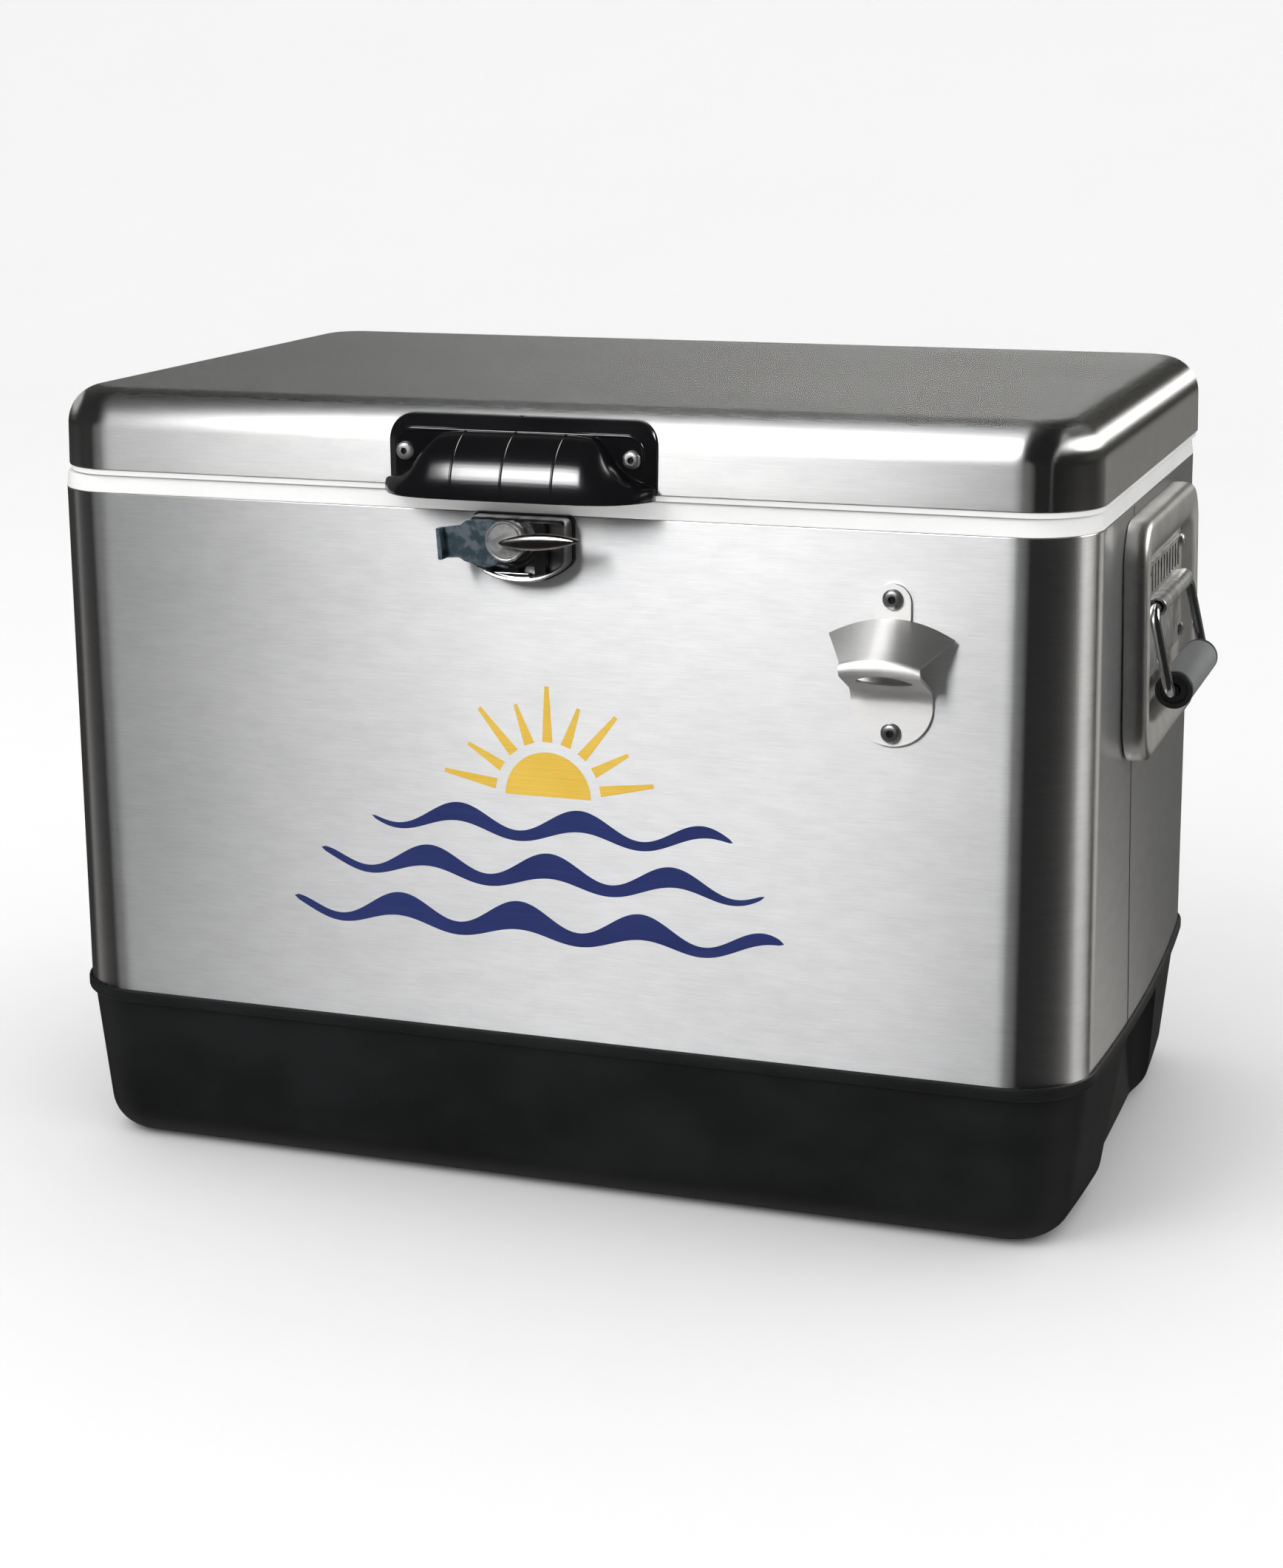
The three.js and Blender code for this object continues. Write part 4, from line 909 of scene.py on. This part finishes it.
def build_handle(name, side):
    # The plate is made round a point on its own face, and the bail round the clip's tube.
    lean = Matrix.Rotation(radians(-1.55), 4, "Y")
    face = Matrix.Identity(4) if side > 0 else Matrix.Rotation(pi, 4, "Z")
    tube_at = (10.6, 0, 14.7)
    mount = face @ Matrix.Translation((302.4, 0, 319)) @ lean
    swing = mount @ Matrix.Translation(tube_at) @ Matrix.Rotation(radians(-11.75), 4, "Y")

    def put(obj, matrix):
        obj.data.transform(matrix)
        return obj

    def frame_ring(inset, x):
        points = outline(93 - inset, 67 - inset, max(24 - inset, 7), 0, 0, 10, 3, 4)
        return [(x, y, z) for y, z in points]

    front = [(0, 0), (0.05, 6), (0.35, 8.6), (1.3, 10.7), (3, 12), (5.4, 12.5), (8.5, 12.5)]
    front += [(13, 12.2), (17.5, 11.2), (20.6, 9.7), (23, 7.6), (24.6, 6), (26, 5.2), (27.4, 5)]
    rear = [(1.5, 0), (1.6, 6), (2.2, 8.4), (4.2, 10.4), (6.4, 11), (13, 10.8), (19.4, 9)]
    rear += [(24.4, 4.4), (26.6, 3.5)]
    plate = loft(f"handle_frame_{name}", [frame_ring(i, x) for i, x in rear[::-1] + front])
    finish(put(plate, mount), PLATE, "chest", f"handle_plate_{name}", 40)
    # Clip: a rolled tube, with an upper and a lower leaf held by the rivets.
    clip = prism("leaf", round_box(-63.3, 63.3, -23.8, 38.3, 5), 5.3, 6.5, "x")
    boolean(clip, bore(3.74, -70, 70, 40, "y", tube_at))
    boolean(clip, prism("neck", round_box(-47.5, 47.5, 15.5, 19.5, 1.2), 5.6, 9, "x"), "UNION")
    boolean(clip, prism("skirt", round_box(-47.5, 47.5, 9.6, 13, 1.2), 5.6, 8.6, "x"), "UNION")
    profile = [(3.75, -48), (5, -48), (5.3, -47.6), (5.3, 47.6), (5, 48), (3.75, 48), (3.75, -48)]
    boolean(clip, turned("tube", profile, 40, "y", tube_at), "UNION")
    clip.name = f"handle_clip_sheet_{name}"
    bevelled(clip, 0.25, 50)
    finish(put(clip, mount), CLIP, "chest", f"handle_clip_{name}", 40)
    for number in range(11):
        path = [(6.45, -50 + 10 * number, z) for z in (22, 24, 30, 34, 36)]
        flute = swept(f"handle_flute_{name}_{number + 1}", path, 0.7, 10)
        finish(put(flute, mount), CLIP, "chest", None, 60)
    for number, (y, z) in enumerate(((-59, 34.6), (59, 34.6), (-59, -18), (59, -18)), 1):
        label = f"handle_rivet_{name}_{number}"
        rivet(f"rivet_{label}", 3.8, 2.2, "x", (6.8, y, z), "chest", label, 0.28, mount)
    # The wire is butted at the middle of the tube and runs round by four bends.
    drop, bend = -47.4, 8
    corners = [(53, -8, 90), (53, -39.4, 0), (-53, -39.4, -90), (-53, -8, -180)]
    path = [(0, 0.8, 0), (0, 20, 0), (0, 40, 0)]
    for at, (y, z, start) in enumerate(corners):
        for step in range(9):
            turn = radians(start - 90 * step / 8)
            path.append((0, y + bend * cos(turn), z + bend * sin(turn)))
        if at == 1:
            path += [(0, along, drop) for along in (30, 10, -10, -30)]
    path += [(0, -40, 0), (0, -20, 0), (0, -0.8, 0)]
    wire = swept(f"bail_wire_{name}", path, 3, 20)
    finish(put(wire, swing), CHROME, f"bail_{name}_wire", f"bail_{name}", 50)
    low = (0, 0, drop)
    bore_radius, thick = 3.6, 10.45
    profile = [(bore_radius, -44), (9.9, -44), (10.25, -43.8), (thick, -43.3)]
    profile += [(thick, -43.3 + 86.6 * k / 8) for k in range(1, 9)]
    profile += [(10.3, 43.8), (9.9, 44), (bore_radius, 44), (bore_radius, -44)]
    sleeve = turned(f"sleeve_{name}", profile, 56, "y", low)
    finish(put(sleeve, swing), GREY, f"sleeve_{name}", f"grip_sleeve_{name}", 50)
    for where, sign in (("front", -1), ("rear", 1)):
        a, b, dish = 44.3 * sign, 48.3 * sign, 46.1 * sign
        profile = [(bore_radius, a), (10.2, a), (thick, a + 0.3 * sign), (thick, b - 0.7 * sign)]
        profile += [(10.2, b - 0.15 * sign), (9.7, b), (8.3, b), (7.8, b - 0.25 * sign)]
        profile += [(7.5, b - 0.8 * sign), (7.2, dish), (bore_radius, dish), (bore_radius, a)]
        cap = turned(f"sleeve_end_{name}_{where}", profile, 56, "y", low)
        finish(put(cap, swing), RUBBER, f"sleeve_{name}", f"grip_cap_{name}_{where}", 50)


# ---- hinges and drain


def build_hinge(name, x):
    pin_at = (x, 195, 399)

    def knuckle(label, start, end):
        profile = [(0, start), (4.2, start), (4.5, start + 0.3), (4.5, end - 0.3), (4.2, end), (0, end)]
        return turned(label, profile, 40, "x", pin_at)

    def arm(label, start, end, low, high, off):
        corners = [(x + start, low), (x + end, low), (x + end, high), (x + start, high)]
        return prism(label, corners, off, 9, "y")

    body = prism(f"hinge_lower_{name}", round_box(x - 30, x + 30, 345, 396, 4), 0.3, 1.8, "y")
    lid = prism(f"hinge_upper_{name}", round_box(x - 30, x + 30, 402, 427, 3), 3.1, 4.6, "y")
    for k, (start, end) in enumerate(((-30, -12), (12, 30))):
        boolean(body, arm(f"arm_{k}", start, end, 394.5, 396, 0.5), "UNION")
        boolean(body, knuckle(f"knuckle_{k}", start, end), "UNION")
    boolean(lid, arm("arm_2", -11.5, 11.5, 402, 403.5, 3.2), "UNION")
    boolean(lid, knuckle("knuckle_2", -11.5, 11.5), "UNION")
    for leaf in (body, lid):
        boolean(leaf, bore(2.7, -40, 40, 32, "x", pin_at))
        bevelled(leaf, 0.3, 40)
    finish(body, SHEET, "chest", f"hinge_body_leaf_{name}", 35)
    finish(lid, SHEET, "lid", f"hinge_lid_leaf_{name}", 35)
    profile = [(0, -31.8), (3, -31.8), (3.8, -31.4), (4, -30.9), (4, -30.3), (2.5, -30.3), (2.5, 30.6)]
    profile += [(2.2, 31), (0, 31)]
    pin = turned(f"hinge_pin_rod_{name}", profile, 32, "x", pin_at)
    finish(pin, CHROME, "chest", f"hinge_pin_{name}", 40)
    for where, offset in (("a", -18), ("b", 18)):
        for leaf, part, y, z in (("body", "chest", 188.1, 358), ("lid", "lid", 190.9, 418)):
            label, at = f"hinge_{leaf}_rivet_{name}_{where}", (x + offset, y, z)
            rivet(f"rivet_hinge_{leaf}_{name}_{where}", 4, 2, "y", at, part, label)


def build_drain():
    profile = [(7.5, 263), (9.5, 263), (9.7, 263.3), (9.7, 288.3), (13.7, 288.3), (14, 288.6)]
    profile += [(14, 290), (13.7, 290.3), (9.7, 290.3), (9.7, 298.7), (9.4, 299), (7.5, 299), (7.5, 263)]
    finish(turned("drain_tube", profile, 48, "-x", DRAIN), DARK, "chest", "drain_spout", 40)

    def knurl(turn):
        return 1 - 0.012 * (0.5 + 0.5 * cos(turn * 24))

    profile = [(0, 301.1), (10, 301.1), (10, 292.3), (12.7, 292.3), (13, 292.6), (13, 301.3)]
    profile += [(12.6, 302.1), (11.6, 302.7), (9, 302.7), (8.6, 302.3), (0, 302.3)]
    finish(turned("drain_knob", profile, 144, "-x", DRAIN, knurl), DARK, "drain_plug", "drain_cap", 30)
    profile = [(0, 299.3), (9.1, 299.3), (9.4, 299.6), (9.4, 300.5), (9.1, 300.8), (0, 300.8)]
    finish(turned("drain_washer", profile, 40, "-x", DRAIN), RUBBER, "drain_plug", "drain_cap_seal", 40)


# ---- print on the front


def print_piece(name, points, material):
    finish(prism(name, points, 0.02, 0.12), material, "chest", None, 40)


def build_print():
    """A plain half sun with rays over three waves."""
    centre_x, horizon = 6, 236
    print_piece("print_sun", arc_points(centre_x, horizon, 25, 0, 180, 48), GOLD)
    for number in range(9):
        middle = radians(10 + 20 * number)
        inner, outer = 31, 62 if number % 2 == 0 else 54
        wide, narrow = radians(5.6), radians(1.1)
        ray = [
            (centre_x + r * cos(middle + w), horizon + r * sin(middle + w))
            for r, w in ((inner, -wide), (outer, -narrow), (outer, narrow), (inner, wide))
        ]
        print_piece(f"print_ray_{number + 1}", ray, GOLD)
    waves = ((-100, 112, 218, 9, 0), (-132, 130, 191, 10.5, 1.6), (-150, 141, 161, 12, 3.2))
    for number, (low_x, high_x, middle, height, shift) in enumerate(waves, 1):
        upper, lower = [], []
        for k in range(121):
            t = k / 120
            x = low_x + (high_x - low_x) * t
            taper = sin(pi * t) ** 0.45 if 0 < t < 1 else 0
            swing = sin(2 * pi * (x - centre_x) / 72 + shift)
            mid, crest = middle + 5.5 * swing, 1 + 0.35 * swing
            upper.append((x, mid + height * 0.5 * taper * crest + 0.15))
            lower.append((x, mid - height * 0.5 * taper * crest - 0.15))
        print_piece(f"print_wave_{number}", upper + lower[::-1], NAVY)


build_body()
build_lid()
build_grip()
for side_name, x in (("left", -70), ("right", 59)):
    label, at = f"grip_rivet_{side_name}", (x, -194.3, 424.5)
    rivet(f"rivet_grip_{side_name}", 5, 2.6, "-y", at, "lid", label, 0.34, None, SATIN)
build_latch()
build_opener()
for side_name, sign in SIDES:
    build_handle(side_name, sign)
    build_hinge(side_name, 171.5 * sign)
build_drain()
build_print()
for node_name in ("body_foam", "lid_foam"):
    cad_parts[node_name].data.materials.clear()
    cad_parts[node_name].data.materials.append(FOAM)

# ---- studio


def build_studio():
    # A sheet of paper that lies under the object and curves up far behind it.
    half, flat, radius = 14, 3, 4
    sweep = [(-9, 0), (0, 0), (flat, 0)]
    for k in range(1, 25):
        turn = radians(90 * k / 24)
        sweep.append((flat + radius * sin(turn), radius - radius * cos(turn)))
    sweep.append((flat + radius, 9))
    mesh = bpy.data.meshes.new("studio_floor")
    verts = [(x, y, z) for y, z in sweep for x in (-half, half)]
    faces = [(2 * k, 2 * k + 1, 2 * k + 3, 2 * k + 2) for k in range(len(sweep) - 1)]
    mesh.from_pydata(verts, [], faces)
    mesh.shade_smooth()
    floor = bpy.data.objects.new("studio_floor", mesh)
    link(floor)
    material, n, inputs = new_material("studio_paper")
    paper = n.noise(3, 3, 0.5)
    n.feed(inputs["Base Color"], n.mix(paper, rgb(0.93), rgb(0.95)))
    inputs["Roughness"].default_value = 0.9
    inputs["Specular IOR Level"].default_value = 0.1
    mesh.materials.append(material)
    floor.visible_glossy = False

    world = bpy.data.worlds.new("studio")
    bpy.context.scene.world = world
    world.use_nodes = True
    world.cycles.sampling_method = "NONE"
    n = Nodes(world.node_tree)
    x, y, z = n.axes(n.add("ShaderNodeTexCoord", 0))
    # In degrees: round from the front, up from level, and along the arc from the front over the top.
    turn = n.times(n.math("ARCTAN2", x, n.times(y, -1)), 180 / pi)
    rise = n.times(n.math("ARCSINE", z), 180 / pi)
    over = n.times(n.math("ARCTAN2", z, n.times(y, -1)), 180 / pi)

    def window(value, a, b, c, d):
        return n.times(n.ramp(value, a, b), n.rest(n.ramp(value, c, d)))

    # A long lamp over the front, its left edge sheer and leaning a little, its right edge soft.
    slant = n.plus(x, n.times(n.math("SUBTRACT", over, 20), 0.001))
    edge = n.plus(n.ramp(slant, -0.453, -0.436, 0, 0.62), n.ramp(slant, -0.436, -0.35, 0, 0.38))
    across = n.times(edge, n.rest(n.ramp(x, -0.215, -0.155)))
    away = n.size(turn)
    front = n.times(across, window(over, 17, 28, 35, 53))
    right = n.times(window(turn, 99, 108, 131, 145), window(rise, 16, 24, 31, 39))
    left = n.times(window(turn, -175, -150, -40, -28), window(rise, -60, -30, 40, 60))
    behind = n.times(window(away, 138, 148, 156, 165), window(rise, -21, -15, -6, 0))
    back = n.times(n.ramp(away, 150, 165), window(rise, -40, -20, 5, 25))
    rear = window(over, 118, 142, 180, 184)
    under = window(over, -140, -115, -75, -55)
    lamps = (
        (front, 14.6, (1, 1, 1.01)),
        (right, 12, (1, 0.98, 0.96)),
        (left, 0.012, (0.97, 1, 1.04)),
        (behind, 0.55, (1, 0.96, 0.9)),
        (back, 0.02, (1, 0.96, 0.9)),
        (rear, 0.06, (1, 1, 0.84)),
        (under, 0.20, (1, 0.95, 0.92)),
    )
    total = rgb(0.018)
    for share, strength, colour in lamps:
        light = n.mix(share, rgb(0), rgb(*(strength * c for c in colour)))
        node = n.tree.nodes.new("ShaderNodeMix")
        node.data_type = "RGBA"
        node.blend_type = "ADD"
        node.inputs[0].default_value = 1
        n.feed(node.inputs[6], total)
        n.feed(node.inputs[7], light)
        total = node.outputs[2]
    path = n.tree.nodes.new("ShaderNodeLightPath")
    soft = n.mix(n.ramp(rise, -20, 60), rgb(0.82), rgb(1.05))
    seen = n.mix(path.outputs["Is Glossy Ray"], soft, total)
    seen = n.mix(path.outputs["Is Camera Ray"], seen, rgb(0.94))
    background = n.add("ShaderNodeBackground", 0, Color=seen, Strength=1)
    output = n.tree.nodes.new("ShaderNodeOutputWorld")
    n.tree.links.new(background, output.inputs[0])

    lamp_data = bpy.data.lights.new("key", "AREA")
    lamp_data.energy = 18
    lamp_data.size = 1.6
    key = bpy.data.objects.new("key", lamp_data)
    key.location = (-1.2, -1.9, 2.3)
    key.rotation_euler = (Vector((0, 0, 0.2)) - key.location).to_track_quat("-Z", "Y").to_euler()
    key.visible_glossy = False
    link(key)


def build_camera():
    """Stands 19 degrees round to the right and looks down by 14 and a half."""
    yaw, pitch, roll = (radians(v) for v in (19.298, 14.482, -0.359))
    forward = Vector((-sin(yaw) * cos(pitch), cos(yaw) * cos(pitch), -sin(pitch)))
    right = Vector((cos(yaw), sin(yaw), 0))
    up = right.cross(forward)
    tilted_right = right * cos(roll) + up * sin(roll)
    tilted_up = up * cos(roll) - right * sin(roll)
    data = bpy.data.cameras.new("camera")
    data.lens = 65.367
    data.sensor_width = 36
    camera = bpy.data.objects.new("camera", data)
    aim, distance = Vector((-0.00487, 0, 0.19673)), 1.74306
    axes = Matrix((tilted_right, tilted_up, -forward)).transposed().to_4x4()
    camera.matrix_world = Matrix.Translation(aim - forward * distance) @ axes
    link(camera)
    bpy.context.scene.camera = camera


build_studio()
build_camera()
bpy.context.scene.view_settings.view_transform = "Standard"

bpy.context.view_layer.update()
